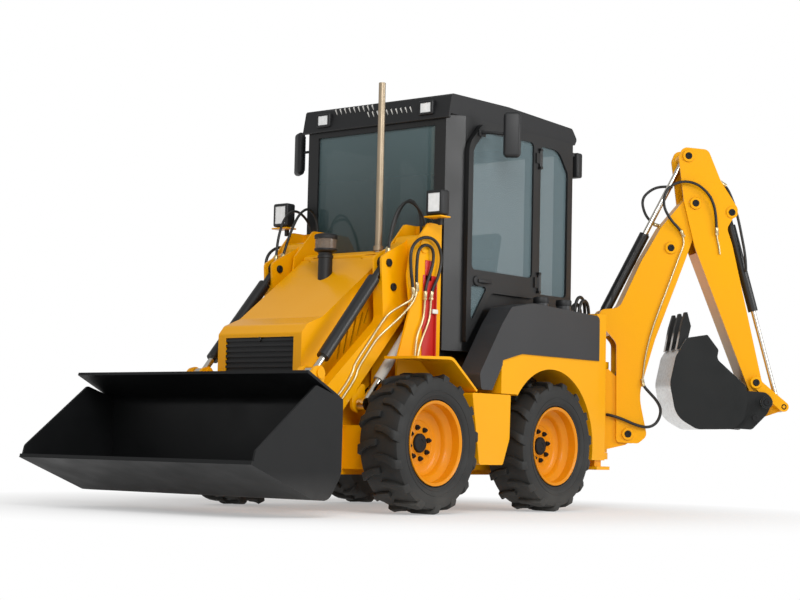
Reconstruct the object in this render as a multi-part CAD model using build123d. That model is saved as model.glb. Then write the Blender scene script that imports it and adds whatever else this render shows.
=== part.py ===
from build123d import *
from math import radians, sin, sqrt, tan
import os

# Compact backhoe loader in millimetres. While it is drawn, x = 0 is the front axle, +x is
# forward, y = 0 is the machine's centre plane, +y is its left side and z = 0 is the ground.
# Every piece is then moved so that the origin is on the ground under the middle of the whole.
FRONT_AXLE_X = 705.0
CENTRE_PLANE_Y = -292.5

# Fits
RUNNING_FIT = 0.05
PLATE_GAP = 6.0
SEAT_GAP = 0.3

# Wheels
WHEELBASE = 1104.0
WHEEL_PLANE_Y = 642.0
TYRE_RADIUS = 366.0
TYRE_HALF_WIDTH = 132.0
TYRE_SHOULDER = 34.0
BEAD_RADIUS = 210.5
RIM_FLANGE_RADIUS = 221.5
RIM_HALF_WIDTH = 115.0
RIM_WALL = 7.0
RIM_WELL_DEPTH = 25.0
RIM_DISC_Y = -10.0
RIM_DISC_THICKNESS = 12.0
HUB_RADIUS = 58.0
HUB_DEPTH = 34.0
STUB_SHAFT_RADIUS = 28.0
STUB_SHAFT_REACH = 40.0
AXLE_HOUSING_RADIUS = 62.0

# Chassis tub
CHASSIS_FRONT_X = 400.0
CHASSIS_REAR_X = -1640.0
CHASSIS_BOTTOM_Z = 195.0
RAIL_OUTER_Y = 325.0
RAIL_THICKNESS = 22.0
RAIL_TOP_Z = 600.0
CHAIN_CASE_OUTER_Y = 470.0
CHAIN_CASE_TOP_Z = 450.0
CHAIN_CASE_FRONT_X = 240.0
CHAIN_CASE_REAR_X = -1420.0
ENGINE_FRONT_X, ENGINE_REAR_X = 365.0, -95.0
ENGINE_HALF_WIDTH = 215.0
ENGINE_TOP_Z = 830.0

# Loader towers
ARM_PIVOT = (-190.0, 1420.0)
LIFT_BASE = (-280.0, 1135.0)
TOWER_INNER_Y = 325.3
TOWER_OUTER_Y = 501.0
TOWER_PLATE = 12.0
TOWER_REAR_X = -340.0
TOWER_TOP_Z = 1550.0
TOWER_PIN_RADIUS = 25.0

# Loader arms and hitch
ARM_INNER_Y = 360.0
ARM_OUTER_Y = 424.0
ARM_BOSS_RADIUS = 62.0
LIFT_EYE = (235.0, 560.0)
LIFT_RAM_Y = 456.0
CROWD_BASE = (16.0, 1314.0)
CROWD_EYE = (565.0, 705.0)
BUCKET_PIVOT = (690.0, 250.0)
BUCKET_PIN_RADIUS = 25.0
CROSS_TUBE = (520.0, 415.0)
CROSS_TUBE_RADIUS = 45.0
HITCH_PLATE = 14.0
HITCH_GAP = 8.0
BUCKET_BACK_X = 804.0
BUCKET_HALF_WIDTH = 806.0
BUCKET_WALL = 12.0

# Rams: barrel length from its pin, barrel radius, rod radius
CROWD_BARREL, CROWD_BARREL_RADIUS, CROWD_ROD_RADIUS = 705.0, 34.0, 17.5
LIFT_BARREL, LIFT_BARREL_RADIUS, LIFT_ROD_RADIUS = 600.0, 27.0, 19.0
BOOM_BARREL, BOOM_BARREL_RADIUS, BOOM_ROD_RADIUS = 520.0, 33.0, 20.0
DIPPER_BARREL, DIPPER_BARREL_RADIUS, DIPPER_ROD_RADIUS = 580.0, 32.0, 17.5
DIGGER_BARREL, DIGGER_BARREL_RADIUS, DIGGER_ROD_RADIUS = 620.0, 30.0, 15.0
RAM_NECK = 72.0
CROWD_RAM_NECK = 125.0
DIPPER_RAM_NECK = 50.0
RAM_PIN_RADIUS = 20.0
RAM_EYE_RADIUS = 36.0

# Bonnet and scuttle
BONNET_HALF_WIDTH = 295.0
BONNET_WALL = 10.0
BONNET_FRONT_X = 545.0
BONNET_BOTTOM_Z = 620.0
BONNET_REAR_X = -105.0
BONNET_HINGE = (-109.0, 1366.0)
BONNET_HINGES_Y = (-190.0, 190.0)
HINGE_KNUCKLE = 70.0
HINGE_RADIUS = 12.0
HINGE_PIN_RADIUS = 5.0
GRILLE_HALF_WIDTH = 240.0
GRILLE_TOP_Z, GRILLE_BOTTOM_Z = 895.0, 650.0
PRE_CLEANER_X = 40.0
SCUTTLE_TOP_Z = 1405.0
EXHAUST_X, EXHAUST_Y, EXHAUST_RADIUS, EXHAUST_TOP_Z = -150.0, 215.0, 19.0, 2330.0

# Cab
CAB_FRONT_X, CAB_REAR_X = -360.0, -1550.0
CAB_HALF_WIDTH = 545.0
CAB_FRONT_HALF_WIDTH = 500.0
CAB_BOTTOM_Z, CAB_SIDE_Z, CAB_TOP_Z = 600.3, 870.3, 2165.0
CAB_LOWER_HALF_WIDTH = 468.0
CAB_FLOOR = 50.0
CAB_WALL = 45.0
CAB_GLASS = 6.0
ROOF_TOP_Z = 2285.0
DOOR_HINGE = (-1165.0, 577.0)
DOOR_HINGES_Z = (1300.0, 2020.0)
DOOR_THICKNESS = 26.0
DOOR_OFF = 3.0

# Bodywork over the wheels
WING_OUTER_Y = 720.0
ARCH_CLEARANCE = 66.0
FENDER_SHEET = 14.0

# Rear frame and stabilisers
FRAME_REAR_X = -1745.0
COLUMN_FRONT_X, COLUMN_REAR_X = -1600.0, -1700.0
COLUMN_INNER_Y, COLUMN_OUTER_Y = 600.0, 700.0
COLUMN_BOTTOM_Z, COLUMN_TOP_Z = 290.0, 1150.0
COLUMN_WALL = 12.0
LEG_CLEARANCE = 3.0
PAD_Z = (980.0, 1080.0)
FOOT_Z = 235.0

# Lashing eyes, front and rear: hole radius, plate thickness, hole centre x and z, plate centre y
EYE_RADIUS, EYE_PLATE, EYE_EDGE = 20.0, 20.0, 38.0
FRONT_EYE_X, FRONT_EYE_Z, FRONT_EYES_Y = 438.0, 262.0, (-200.0, 200.0)
REAR_EYE_X, REAR_EYE_Z, REAR_EYES_Y = -1753.0, 350.0, (-400.0, 290.0)

# Backhoe, drawn in its own upright plane: first number out from the slew axis, second up.
SLEW_X, SLEW_Y = -1950.0, 500.0
SLEW_HEADING = 135.0
SLEW_PIN_RADIUS = 22.0
SLEW_BOSS_RADIUS = 50.0
SLEW_LUG_HALF = 54.0
SLEW_LUG_LOW_Z, SLEW_LUG_HIGH_Z, SLEW_LUG = 295.0, 845.0, 40.0
BOOM_FOOT = (160.0, 451.0)
BOOM_RAM_BASE = (85.0, 690.0)
BOOM_RAM_EYE = (414.0, 1591.0)
DIPPER_PIVOT = (562.0, 1869.0)
DIPPER_RAM_BASE = (7.0, 1159.0)
DIPPER_RAM_EYE = (515.0, 2160.0)
DIGGER_RAM_BASE = (791.0, 1821.0)
LEVER_PIVOT = (944.0, 781.0)
LEVER_EYE = (1122.0, 638.0)
DIGGER_PIVOT = (989.0, 660.0)
DIGGER_HORN = (918.0, 566.0)
KINGPOST_HALF = 58.0
BOOM_HALF = 75.0
BOOM_PLATE = 12.0
DIPPER_HALF = 92.0
LEVER_INNER, LEVER_OUTER = 96.0, 108.0
LINK_INNER, LINK_OUTER = 40.0, 54.0
HORN_INNER, HORN_OUTER = 60.0, 74.0
DIGGER_EAR_INNER, DIGGER_EAR_OUTER = 114.0, 130.0
DIGGER_HALF_WIDTH = 180.0
DIGGER_WALL = 12.0


def block(x, y, z):
    """Box between the two values given for each axis."""
    return Solid.make_box(x[1] - x[0], y[1] - y[0], z[1] - z[0], Plane((x[0], y[0], z[0])))


def bar(start, end, radius):
    """Round bar from one point to another."""
    start, end = Vector(*start), Vector(*end)
    return Solid.make_cylinder(radius, (end - start).length, Plane(start, z_dir=end - start))


def pin(place, radius, y):
    """Round bar across the machine, centred on place (x, z)."""
    return bar((place[0], y[0], place[1]), (place[0], y[1], place[1]), radius)


def outline(rows, y):
    """Plate across y whose edge is a closed line; rows are x, z, corner radius."""
    edges, count, joints = [], len(rows), []
    for i, (x, z, radius) in enumerate(rows):
        corner = Vector(x, y[0], z)
        before, after = rows[i - 1], rows[(i + 1) % count]
        back = (Vector(before[0], y[0], before[1]) - corner).normalized()
        ahead = (Vector(after[0], y[0], after[1]) - corner).normalized()
        half = radians(back.get_angle(ahead)) / 2
        if radius == 0 or (back + ahead).length < 1e-6:
            joints.append((corner, None, corner))
            continue
        cut = radius / tan(half)
        centre = corner + (back + ahead).normalized() * (radius / sin(half))
        middle = centre + (corner - centre).normalized() * radius
        joints.append((corner + back * cut, middle, corner + ahead * cut))
    for i, (enter, middle, leave) in enumerate(joints):
        last = joints[i - 1][2]
        if (enter - last).length > 0.01:
            edges.append(Edge.make_line(last, enter))
        if middle is not None:
            edges.append(Edge.make_three_point_arc(enter, middle, leave))
    return Solid.extrude(Face(Wire(edges)), Vector(0, y[1] - y[0], 0))


def turned(rows):
    """Solid of revolution about the y axis; rows are y, radius."""
    face = Face(Wire.make_polygon([Vector(r, y, 0) for y, r in rows], close=True))
    return Solid.revolve(face, 360, Axis.Y)


def fused(*shapes):
    """One solid from shapes that meet."""
    first, *rest = shapes
    return first.fuse(*rest).clean() if rest else first


def mirrored(shape):
    return mirror(shape, about=Plane.XZ)


def both_sides(shape):
    return [shape, mirrored(shape)]


def between(start, end, share):
    return (start[0] + (end[0] - start[0]) * share, start[1] + (end[1] - start[1]) * share)


def along(start, end, length):
    """Point (x, z) at a length from start on the way to end."""
    return between(start, end, length / sqrt((end[0] - start[0]) ** 2 + (end[1] - start[1]) ** 2))


def at(place, y):
    return (place[0], y, place[1])


def ram_barrel(base, eye, length, radius, rod_radius, y, half, neck_end=RAM_NECK):
    """Barrel with its bored eye at the base pin and a bore for the rod."""
    tube = bar(at(along(base, eye, neck_end), y), at(along(base, eye, length), y), radius)
    neck = bar(at(base, y), at(along(base, eye, neck_end + 10), y), min(half, radius) - 1)
    ring = pin(base, RAM_EYE_RADIUS, (y - half, y + half))
    bore = bar(at(along(base, eye, neck_end + 14), y), at(along(base, eye, length + 5), y),
               rod_radius + RUNNING_FIT)
    hole = pin(base, RAM_PIN_RADIUS + RUNNING_FIT, (y - half - 5, y + half + 5))
    return fused(tube, neck, ring) - bore - hole


def ram_rod(base, eye, inner_end, radius, y, half):
    """Rod from inside the barrel to its eye, whose solid disc stands for eye and pin."""
    shaft = bar(at(along(base, eye, inner_end), y), at(eye, y), radius)
    return fused(shaft, pin(eye, RAM_EYE_RADIUS - 4, (y - half, y + half)))


# Wheels
def tyre():
    side, crown = TYRE_HALF_WIDTH, TYRE_RADIUS
    half = [(RIM_HALF_WIDTH - 12.5, BEAD_RADIUS), (RIM_HALF_WIDTH - 12.5, RIM_FLANGE_RADIUS + 0.5),
            (RIM_HALF_WIDTH + 4, RIM_FLANGE_RADIUS + 3),
            (side, 270), (side, 310), (side - 8, crown - TYRE_SHOULDER), (side - 30, crown)]
    return turned(half + [(-y, r) for y, r in reversed(half)])


def rim():
    seat, flange, edge = BEAD_RADIUS - 0.5, RIM_FLANGE_RADIUS, RIM_HALF_WIDTH
    well = seat - RIM_WELL_DEPTH
    outer = [(edge, flange), (edge - 7, flange), (edge - 12, seat), (58, seat), (42, well)]
    inner = [(44, well - RIM_WALL), (61, seat - RIM_WALL), (edge - 6, seat - RIM_WALL),
             (edge, flange - RIM_WALL)]
    face, back = RIM_DISC_Y, RIM_DISC_Y - RIM_DISC_THICKNESS
    ring = turned(outer + [(-y, r) for y, r in reversed(outer)]
                  + [(-y, r) for y, r in reversed(inner)] + inner)
    disc = turned([(face, 0), (face, well - 3), (back, well - 3), (back, 0)])
    hub = turned([(face + 10, 0), (face + 10, HUB_RADIUS), (back - HUB_DEPTH, HUB_RADIUS),
                  (back - HUB_DEPTH, 0)])
    reach = STUB_SHAFT_REACH + 1
    shaft_hole = turned([(back - HUB_DEPTH - 1, 0), (back - HUB_DEPTH - 1, STUB_SHAFT_RADIUS
                        + RUNNING_FIT), (back - HUB_DEPTH + reach, STUB_SHAFT_RADIUS
                        + RUNNING_FIT), (back - HUB_DEPTH + reach, 0)])
    return fused(ring, disc, hub) - shaft_hole


def lashing_eye(x, y, z, root_x):
    """Upright plate with a round hole for a hook, reaching back to root_x."""
    across = (y - EYE_PLATE / 2, y + EYE_PLATE / 2)
    tail = block((min(x, root_x), max(x, root_x)), across, (z - EYE_EDGE, z + EYE_EDGE))
    return fused(pin((x, z), EYE_EDGE, across), tail) - pin((x, z), EYE_RADIUS, (across[0] - 5, across[1] + 5))


def at_wheel(shape, axle_x, side):
    """Put a wheel piece at its axle; side is 1 on the left and -1 on the right."""
    if side < 0:
        shape = mirrored(shape)
    return Pos(axle_x, side * WHEEL_PLANE_Y, TYRE_RADIUS) * shape


# Chassis
def chassis():
    hub_inner = WHEEL_PLANE_Y + RIM_DISC_Y - RIM_DISC_THICKNESS - HUB_DEPTH
    belly = block((CHASSIS_REAR_X, CHASSIS_FRONT_X), (-RAIL_OUTER_Y, RAIL_OUTER_Y),
                  (CHASSIS_BOTTOM_Z, CHASSIS_BOTTOM_Z + 22))
    nose = block((CHASSIS_FRONT_X - 30, CHASSIS_FRONT_X), (-RAIL_OUTER_Y, RAIL_OUTER_Y),
                 (CHASSIS_BOTTOM_Z, RAIL_TOP_Z - 110))
    tail = block((CHASSIS_REAR_X, CHASSIS_REAR_X + 30), (-RAIL_OUTER_Y, RAIL_OUTER_Y),
                 (CHASSIS_BOTTOM_Z, RAIL_TOP_Z))
    pieces = [belly, nose, tail]
    pieces += [lashing_eye(FRONT_EYE_X, y, FRONT_EYE_Z, CHASSIS_FRONT_X - 5) for y in FRONT_EYES_Y]
    for side in (1, -1):
        rail = outline([(CHASSIS_REAR_X, CHASSIS_BOTTOM_Z, 0), (CHASSIS_FRONT_X, CHASSIS_BOTTOM_Z, 30),
                        (CHASSIS_FRONT_X, RAIL_TOP_Z - 110, 30), (240, RAIL_TOP_Z, 60),
                        (CHASSIS_REAR_X, RAIL_TOP_Z, 0)],
                       (RAIL_OUTER_Y - RAIL_THICKNESS, RAIL_OUTER_Y))
        case = block((CHAIN_CASE_REAR_X, CHAIN_CASE_FRONT_X), (RAIL_OUTER_Y - 2, CHAIN_CASE_OUTER_Y),
                     (CHASSIS_BOTTOM_Z + 30, CHAIN_CASE_TOP_Z))
        half = [rail, case]
        for axle_x in (0, -WHEELBASE):
            wheel = (axle_x, TYRE_RADIUS)
            half.append(pin(wheel, AXLE_HOUSING_RADIUS, (CHAIN_CASE_OUTER_Y - 5, hub_inner - 1)))
            half.append(pin(wheel, STUB_SHAFT_RADIUS, (hub_inner - 5, hub_inner + STUB_SHAFT_REACH)))
        pieces += half if side > 0 else [mirrored(piece) for piece in half]
    return fused(*pieces)


def engine():
    return block((ENGINE_REAR_X, ENGINE_FRONT_X), (-ENGINE_HALF_WIDTH, ENGINE_HALF_WIDTH),
                 (CHASSIS_BOTTOM_Z + 22, ENGINE_TOP_Z))


def towers():
    rows = [(TOWER_REAR_X, TOWER_TOP_Z, 0), (-225, TOWER_TOP_Z, 30), (-75, 1390, 40), (-50, 1250, 60),
            (-80, 1080, 120), (20, 800, 60), (20, CHAIN_CASE_TOP_Z, 0),
            (TOWER_REAR_X, CHAIN_CASE_TOP_Z, 0)]
    inner = outline(rows, (TOWER_INNER_Y, TOWER_INNER_Y + TOWER_PLATE))
    outer = outline(rows, (TOWER_OUTER_Y - TOWER_PLATE, TOWER_OUTER_Y))
    across = (TOWER_INNER_Y, TOWER_OUTER_Y)
    web = block((TOWER_REAR_X, TOWER_REAR_X + 14), across, (CHAIN_CASE_TOP_Z, TOWER_TOP_Z))
    foot = block((TOWER_REAR_X, 20), across, (CHAIN_CASE_TOP_Z, CHAIN_CASE_TOP_Z + 16))
    arm_pin = pin(ARM_PIVOT, TOWER_PIN_RADIUS, across)
    ram_pin = pin(LIFT_BASE, RAM_PIN_RADIUS, across)
    cap = pin(ARM_PIVOT, TOWER_PIN_RADIUS + 14, (TOWER_OUTER_Y - 1, TOWER_OUTER_Y + 6))
    return both_sides(fused(inner, outer, web, foot, arm_pin, ram_pin, cap))


# Bonnet, grille and what stands by them
def bonnet():
    rows = [(BONNET_FRONT_X, BONNET_BOTTOM_Z, 0), (BONNET_FRONT_X, 915, 18), (505, 962, 40),
            (388, 1006, 60), (BONNET_REAR_X, 1368, 0), (BONNET_REAR_X, BONNET_BOTTOM_Z + 120, 30),
            (60, BONNET_BOTTOM_Z, 30)]
    wall, half = BONNET_WALL, BONNET_HALF_WIDTH
    inside = [(BONNET_FRONT_X - wall, BONNET_BOTTOM_Z - 20, 0), (BONNET_FRONT_X - wall, 910, 8),
              (500, 950, 30), (384, 994, 60), (BONNET_REAR_X - 20, 1366, 0),
              (BONNET_REAR_X - 20, BONNET_BOTTOM_Z - 20, 0)]
    shell = outline(rows, (-half, half)) - outline(inside, (wall - half, half - wall))
    mouth = block((BONNET_FRONT_X - 40, BONNET_FRONT_X + 10), (-GRILLE_HALF_WIDTH, GRILLE_HALF_WIDTH),
                  (GRILLE_BOTTOM_Z, GRILLE_TOP_Z))
    shell = shell - mouth
    for middle in BONNET_HINGES_Y:
        across = (middle - HINGE_KNUCKLE / 2, middle + HINGE_KNUCKLE / 2)
        space = (middle - HINGE_KNUCKLE / 2 - 18, middle + HINGE_KNUCKLE / 2 + 18)
        shell = shell - pin(BONNET_HINGE, HINGE_RADIUS + 6, space)
        tail = outline([(BONNET_HINGE[0], BONNET_HINGE[1] + HINGE_RADIUS - 1, 0),
                        (BONNET_HINGE[0] + 40, BONNET_HINGE[1] - 30, 0),
                        (BONNET_HINGE[0] + 34, BONNET_HINGE[1] - 42, 0),
                        (BONNET_HINGE[0], BONNET_HINGE[1] - HINGE_RADIUS + 1, 0)], across)
        knuckle = fused(shell, tail, pin(BONNET_HINGE, HINGE_RADIUS, across))
        shell = knuckle - pin(BONNET_HINGE, HINGE_PIN_RADIUS + RUNNING_FIT, (across[0] - 5, across[1] + 5))
    return shell


def grille():
    back = block((BONNET_FRONT_X - 22, BONNET_FRONT_X - 12), (-GRILLE_HALF_WIDTH, GRILLE_HALF_WIDTH),
                 (GRILLE_BOTTOM_Z, GRILLE_TOP_Z))
    pieces = [back]
    count = 9
    step = (GRILLE_TOP_Z - GRILLE_BOTTOM_Z) / count
    for i in range(count):
        z = GRILLE_BOTTOM_Z + (i + 0.5) * step
        pieces.append(block((BONNET_FRONT_X - 14, BONNET_FRONT_X - 2),
                            (-GRILLE_HALF_WIDTH, GRILLE_HALF_WIDTH), (z - 6, z + 6)))
    return fused(*pieces)


def bonnet_top_z(x):
    return 1006 + (388 - x) * (1368 - 1006) / (388 - BONNET_REAR_X)


def pre_cleaner():
    x, base = PRE_CLEANER_X, bonnet_top_z(PRE_CLEANER_X)
    rows = [(base + 40, 46), (base + 105, 46), (base + 105, 52), (base + 135, 56),
            (base + 140, 62), (base + 195, 62), (base + 215, 54), (base + 228, 20), (base + 228, 0),
            (base + 40, 0)]
    face = Face(Wire.make_polygon([Vector(r, 0, z) for z, r in rows], close=True))
    bowl = Solid.revolve(face, 360, Axis.Z)
    foot = bar((0, 0, base - 60), (0, 0, base + 45), 40)
    below = outline([(-400, bonnet_top_z(-400 + x) + SEAT_GAP, 0), (400, bonnet_top_z(400 + x) + SEAT_GAP, 0),
                     (400, 400, 0), (-400, 400, 0)], (-80, 80))
    return Pos(x, 0, 0) * fused(bowl, foot - below)


def scuttle():
    face = BONNET_REAR_X - 8
    foot = RAIL_TOP_Z + SEAT_GAP
    rows = [(face, foot, 0), (face, 1385, 16), (-150, SCUTTLE_TOP_Z, 20),
            (CAB_FRONT_X + SEAT_GAP, SCUTTLE_TOP_Z + 10, 0), (CAB_FRONT_X + SEAT_GAP, foot, 0)]
    body = outline(rows, (-BONNET_HALF_WIDTH, BONNET_HALF_WIDTH))
    for middle in BONNET_HINGES_Y:
        low, high = middle - HINGE_KNUCKLE / 2 - 1, middle + HINGE_KNUCKLE / 2 + 1
        body = body - pin(BONNET_HINGE, HINGE_RADIUS + 6, (low, high))
        for side in ((low - 14, low), (high, high + 14)):
            body = fused(body, pin(BONNET_HINGE, HINGE_RADIUS, side))
        body = fused(body, pin(BONNET_HINGE, HINGE_PIN_RADIUS, (low - 5, high + 5)))
    stack_hole = bar((EXHAUST_X, EXHAUST_Y, 1200), (EXHAUST_X, EXHAUST_Y, 1500), EXHAUST_RADIUS + SEAT_GAP)
    return body - stack_hole


def exhaust():
    x, y = EXHAUST_X, EXHAUST_Y
    outside = bar((x, y, 1200), (x, y, EXHAUST_TOP_Z), EXHAUST_RADIUS)
    bore = bar((x, y, 1300), (x, y, EXHAUST_TOP_Z + 5), EXHAUST_RADIUS - 3)
    return outside - bore


# Loader
def arm():
    rows = [(-190 - 70, 1440, 50), (-190, 1500, 60), (-120, 1440, 40), (16, 1374, 40), (76, 1340, 30),
            (52, 1010, 60), (480, 650, 0), (700, 440, 120), (745, 250, 50), (690, 192, 50),
            (620, 215, 50), (520, 345, 150), (300, 585, 0), (-126, 1030, 150), (-200, 1180, 200)]
    beam = outline(rows, (ARM_INNER_Y, ARM_OUTER_Y))
    middle = (ARM_INNER_Y + ARM_OUTER_Y) / 2
    boss = pin(ARM_PIVOT, ARM_BOSS_RADIUS, (TOWER_INNER_Y + TOWER_PLATE + PLATE_GAP,
                                           TOWER_OUTER_Y - TOWER_PLATE - PLATE_GAP))
    pivot_hole = pin(ARM_PIVOT, TOWER_PIN_RADIUS + RUNNING_FIT, (300, 520))
    low_hole = pin(BUCKET_PIVOT, BUCKET_PIN_RADIUS + RUNNING_FIT, (300, 520))
    ear_rows = [(180, 690, 20), (290, 600, 20), (278, 530, 30), (235, 515, 30), (192, 530, 30)]
    ear = outline(ear_rows, (ARM_OUTER_Y - 18, ARM_OUTER_Y - 1))
    lift_head = pin(LIFT_EYE, RAM_PIN_RADIUS, (ARM_OUTER_Y - 18, LIFT_RAM_Y - 24 - 1))
    lug_half = 19.5
    slot = outline([(-30, 1410, 0), (-40, 1290, 30), (45, 1230, 0), (160, 1160, 0), (200, 1420, 0)],
                   (middle - lug_half, middle + lug_half))
    base_pin = pin(CROWD_BASE, RAM_PIN_RADIUS, (ARM_INNER_Y, ARM_OUTER_Y))
    return fused(fused(beam, boss, ear, lift_head) - pivot_hole - low_hole - slot, base_pin)


def cross_tube():
    ends = (SEAT_GAP - ARM_INNER_Y, ARM_INNER_Y - SEAT_GAP)
    tube = pin(CROSS_TUBE, CROSS_TUBE_RADIUS, ends)
    return tube - pin(CROSS_TUBE, CROSS_TUBE_RADIUS - 8, (-400, 400))


def loader_bucket():
    half, wall = BUCKET_HALF_WIDTH, BUCKET_WALL
    back = BUCKET_BACK_X
    shell = outline([(1431, 250, 0), (1426, 268, 0), (1000, 104, 60), (920, 98, 60),
                     (back + wall, 212, 90), (back + wall, 560, 50), (1062, 680, 0), (1058, 694, 0),
                     (back, 568, 60), (back, 205, 100), (893, 81, 70), (1003, 87, 60)], (-half, half))
    cheek_rows = [(1420, 247, 0), (1402, 312, 30), (1000, 626, 20), (back, 566, 0), (back, 205, 100),
                  (893, 81, 70), (1003, 87, 60)]
    cheeks = [outline(cheek_rows, (half - wall, half)), outline(cheek_rows, (-half, wall - half))]
    return fused(shell, *cheeks)


def hitch():
    inner = (ARM_INNER_Y - HITCH_GAP - HITCH_PLATE, ARM_INNER_Y - HITCH_GAP)
    outer = (ARM_OUTER_Y + HITCH_GAP, ARM_OUTER_Y + HITCH_GAP + HITCH_PLATE)
    rows = [(650, 215, 40), (700, 185, 40), (BUCKET_BACK_X, 170, 0), (BUCKET_BACK_X, 520, 0),
            (770, 540, 60), (610, 735, 40), (555, 748, 35), (524, 712, 35), (536, 665, 35),
            (650, 300, 200)]
    pieces = [outline(rows, inner), outline(rows, outer)]
    pieces.append(pin(BUCKET_PIVOT, BUCKET_PIN_RADIUS, (inner[0], outer[1])))
    for low, high in (inner, outer):
        pieces.append(pin(CROWD_EYE, RAM_PIN_RADIUS + 8, (low - 8, low) if low < ARM_INNER_Y else (high, high + 8)))
    sides = pieces + [mirrored(piece) for piece in pieces]
    board = block((BUCKET_BACK_X - 26, BUCKET_BACK_X), (-outer[1], outer[1]), (180, 505))
    return fused(board, *sides)


def crowd_rams():
    y = (ARM_INNER_Y + ARM_OUTER_Y) / 2
    barrel = ram_barrel(CROWD_BASE, CROWD_EYE, CROWD_BARREL, CROWD_BARREL_RADIUS, CROWD_ROD_RADIUS, y, 19,
                        CROWD_RAM_NECK)
    rod = ram_rod(CROWD_BASE, CROWD_EYE, 172, CROWD_ROD_RADIUS, y, 36)
    return both_sides(barrel), both_sides(rod)


def lift_rams():
    barrel = ram_barrel(LIFT_BASE, LIFT_EYE, LIFT_BARREL, LIFT_BARREL_RADIUS, LIFT_ROD_RADIUS,
                        LIFT_RAM_Y, 25)
    rod = ram_rod(LIFT_BASE, LIFT_EYE, 103, LIFT_ROD_RADIUS, LIFT_RAM_Y, 22)
    return both_sides(barrel), both_sides(rod)


# Bodywork
def fenders():
    outer, sheet = WING_OUTER_Y, FENDER_SHEET
    rows = [(130, 798, 0), (130, 812, 0), (-175, 822, 90), (-398, 655, 0), (-389, 646, 0),
            (-170, 806, 80)]
    plate = outline(rows, (TOWER_OUTER_Y + SEAT_GAP, outer))
    cab_corner = block((-420, CAB_FRONT_X + 6), (TOWER_OUTER_Y - 5, CAB_HALF_WIDTH + 6), (600, 900))
    return both_sides(plate - cab_corner)


def side_pods():
    rows = [(-352, 640, 10), (-425, 258, 20), (-640, 258, 20), (-700, 400, 60), (-705, 640, 10)]
    return both_sides(outline(rows, (CHAIN_CASE_OUTER_Y + SEAT_GAP, WING_OUTER_Y)))


def rear_wings():
    plate = outline([(-615, 645, 0), (-615, 825, 20), (-800, 870, 40), (-1592, 870, 0),
                     (-1592, 292, 0), (-1300, 292, 0), (-1104, 400, 0), (-760, 645, 0)],
                    (CHAIN_CASE_OUTER_Y + SEAT_GAP, WING_OUTER_Y))
    arch = pin((-WHEELBASE, TYRE_RADIUS), TYRE_RADIUS + ARCH_CLEARANCE, (400, 800))
    return both_sides(plate - arch)


def tank_covers():
    rows = [(-420, 660, 20), (-405, 745, 30), (-600, 1020, 60), (-690, 1122, 40), (-900, 1158, 200),
            (-1585, 1132, 30), (-1585, 870 + SEAT_GAP, 0), (-800, 870 + SEAT_GAP, 40),
            (-615, 826, 0), (-612, 800, 0), (-520, 660, 0)]
    outer = (DOOR_HINGE[1] + 10, WING_OUTER_Y + 8)
    cover = outline(rows, outer)
    caps = []
    for x in (-1080, -1310):
        caps.append(bar((x, 655, 1120), (x, 655, 1205), 42))
    return both_sides(fused(cover, *caps))


def cab_shell():
    front, rear, side, nose = CAB_FRONT_X, CAB_REAR_X, CAB_HALF_WIDTH, CAB_FRONT_HALF_WIDTH
    corner = 120

    def ring(inset):
        points = [(front - inset, nose - inset * 0.8), (front - corner, side - inset),
                  (rear + inset, side - inset)]
        points += [(x, -y) for x, y in reversed(points)]
        return points

    def column(points, z):
        face = Face(Wire.make_polygon([Vector(x, y, z[0]) for x, y in points], close=True))
        return Solid.extrude(face, Vector(0, 0, z[1] - z[0]))

    low = CAB_LOWER_HALF_WIDTH
    tub = block((rear, front), (-low, low), (CAB_BOTTOM_Z, CAB_SIDE_Z + 5))
    tub_room = block((rear + CAB_WALL, front - CAB_WALL), (CAB_WALL - low, low - CAB_WALL),
                     (CAB_BOTTOM_Z + CAB_FLOOR, CAB_SIDE_Z + CAB_FLOOR))
    upper = column(ring(0), (CAB_SIDE_Z, CAB_TOP_Z))
    room = column(ring(CAB_WALL), (CAB_SIDE_Z + 30, CAB_TOP_Z + 10))
    body = fused(tub, upper) - tub_room - room
    windscreen = block((front - 100, front + 20), (-425, 425), (SCUTTLE_TOP_Z + 30, CAB_TOP_Z - 55))
    footwell = block((front - 100, front + 20), (-BONNET_HALF_WIDTH + 25, BONNET_HALF_WIDTH - 25),
                     (700, 1180))
    rear_window = block((rear - 20, rear + 100), (-440, 440), (1010, CAB_TOP_Z - 65))
    door_way = outline(door_rows(28), (side - 100, side + 20))
    right_window = outline([(-520, 1240, 40), (-520, 2090, 60), (-1130, 2105, 40), (-1130, 1240, 40)],
                           (-side - 20, 100 - side))
    quarter = outline(quarter_rows(0), (side - 100, side + 20))
    body = body - windscreen - footwell - rear_window - door_way - right_window
    body = body - quarter - mirrored(quarter)
    x, y = DOOR_HINGE
    for z in DOOR_HINGES_Z:
        for low, high in ((z - 60, z - 46), (z + 46, z + 60)):
            body = fused(body, block((x - 11, x + 11), (side - 1, y + 11), (low, high)))
        body = fused(body, bar((x, y, z - 55), (x, y, z + 55), HINGE_PIN_RADIUS))
    return body


def quarter_rows(inset):
    return [(-1215 - inset, 1240 + inset, 30), (-1215 - inset, 2105 - inset, 30),
            (-1400, 2105 - inset, 110), (-1500 + inset, 1980, 60), (-1500 + inset, 1240 + inset, 30)]


def door_rows(inset):
    return [(-478 - inset, 905 + 2.4 * inset, 8), (-478 - inset, 2010, 120),
            (-600, 2140 - inset, 90), (-1145 + inset, 2150 - inset, 30),
            (-1145 + inset, 1205 + inset, 20), (-705 - inset * 0.5, 1205 + inset, 60)]


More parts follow.
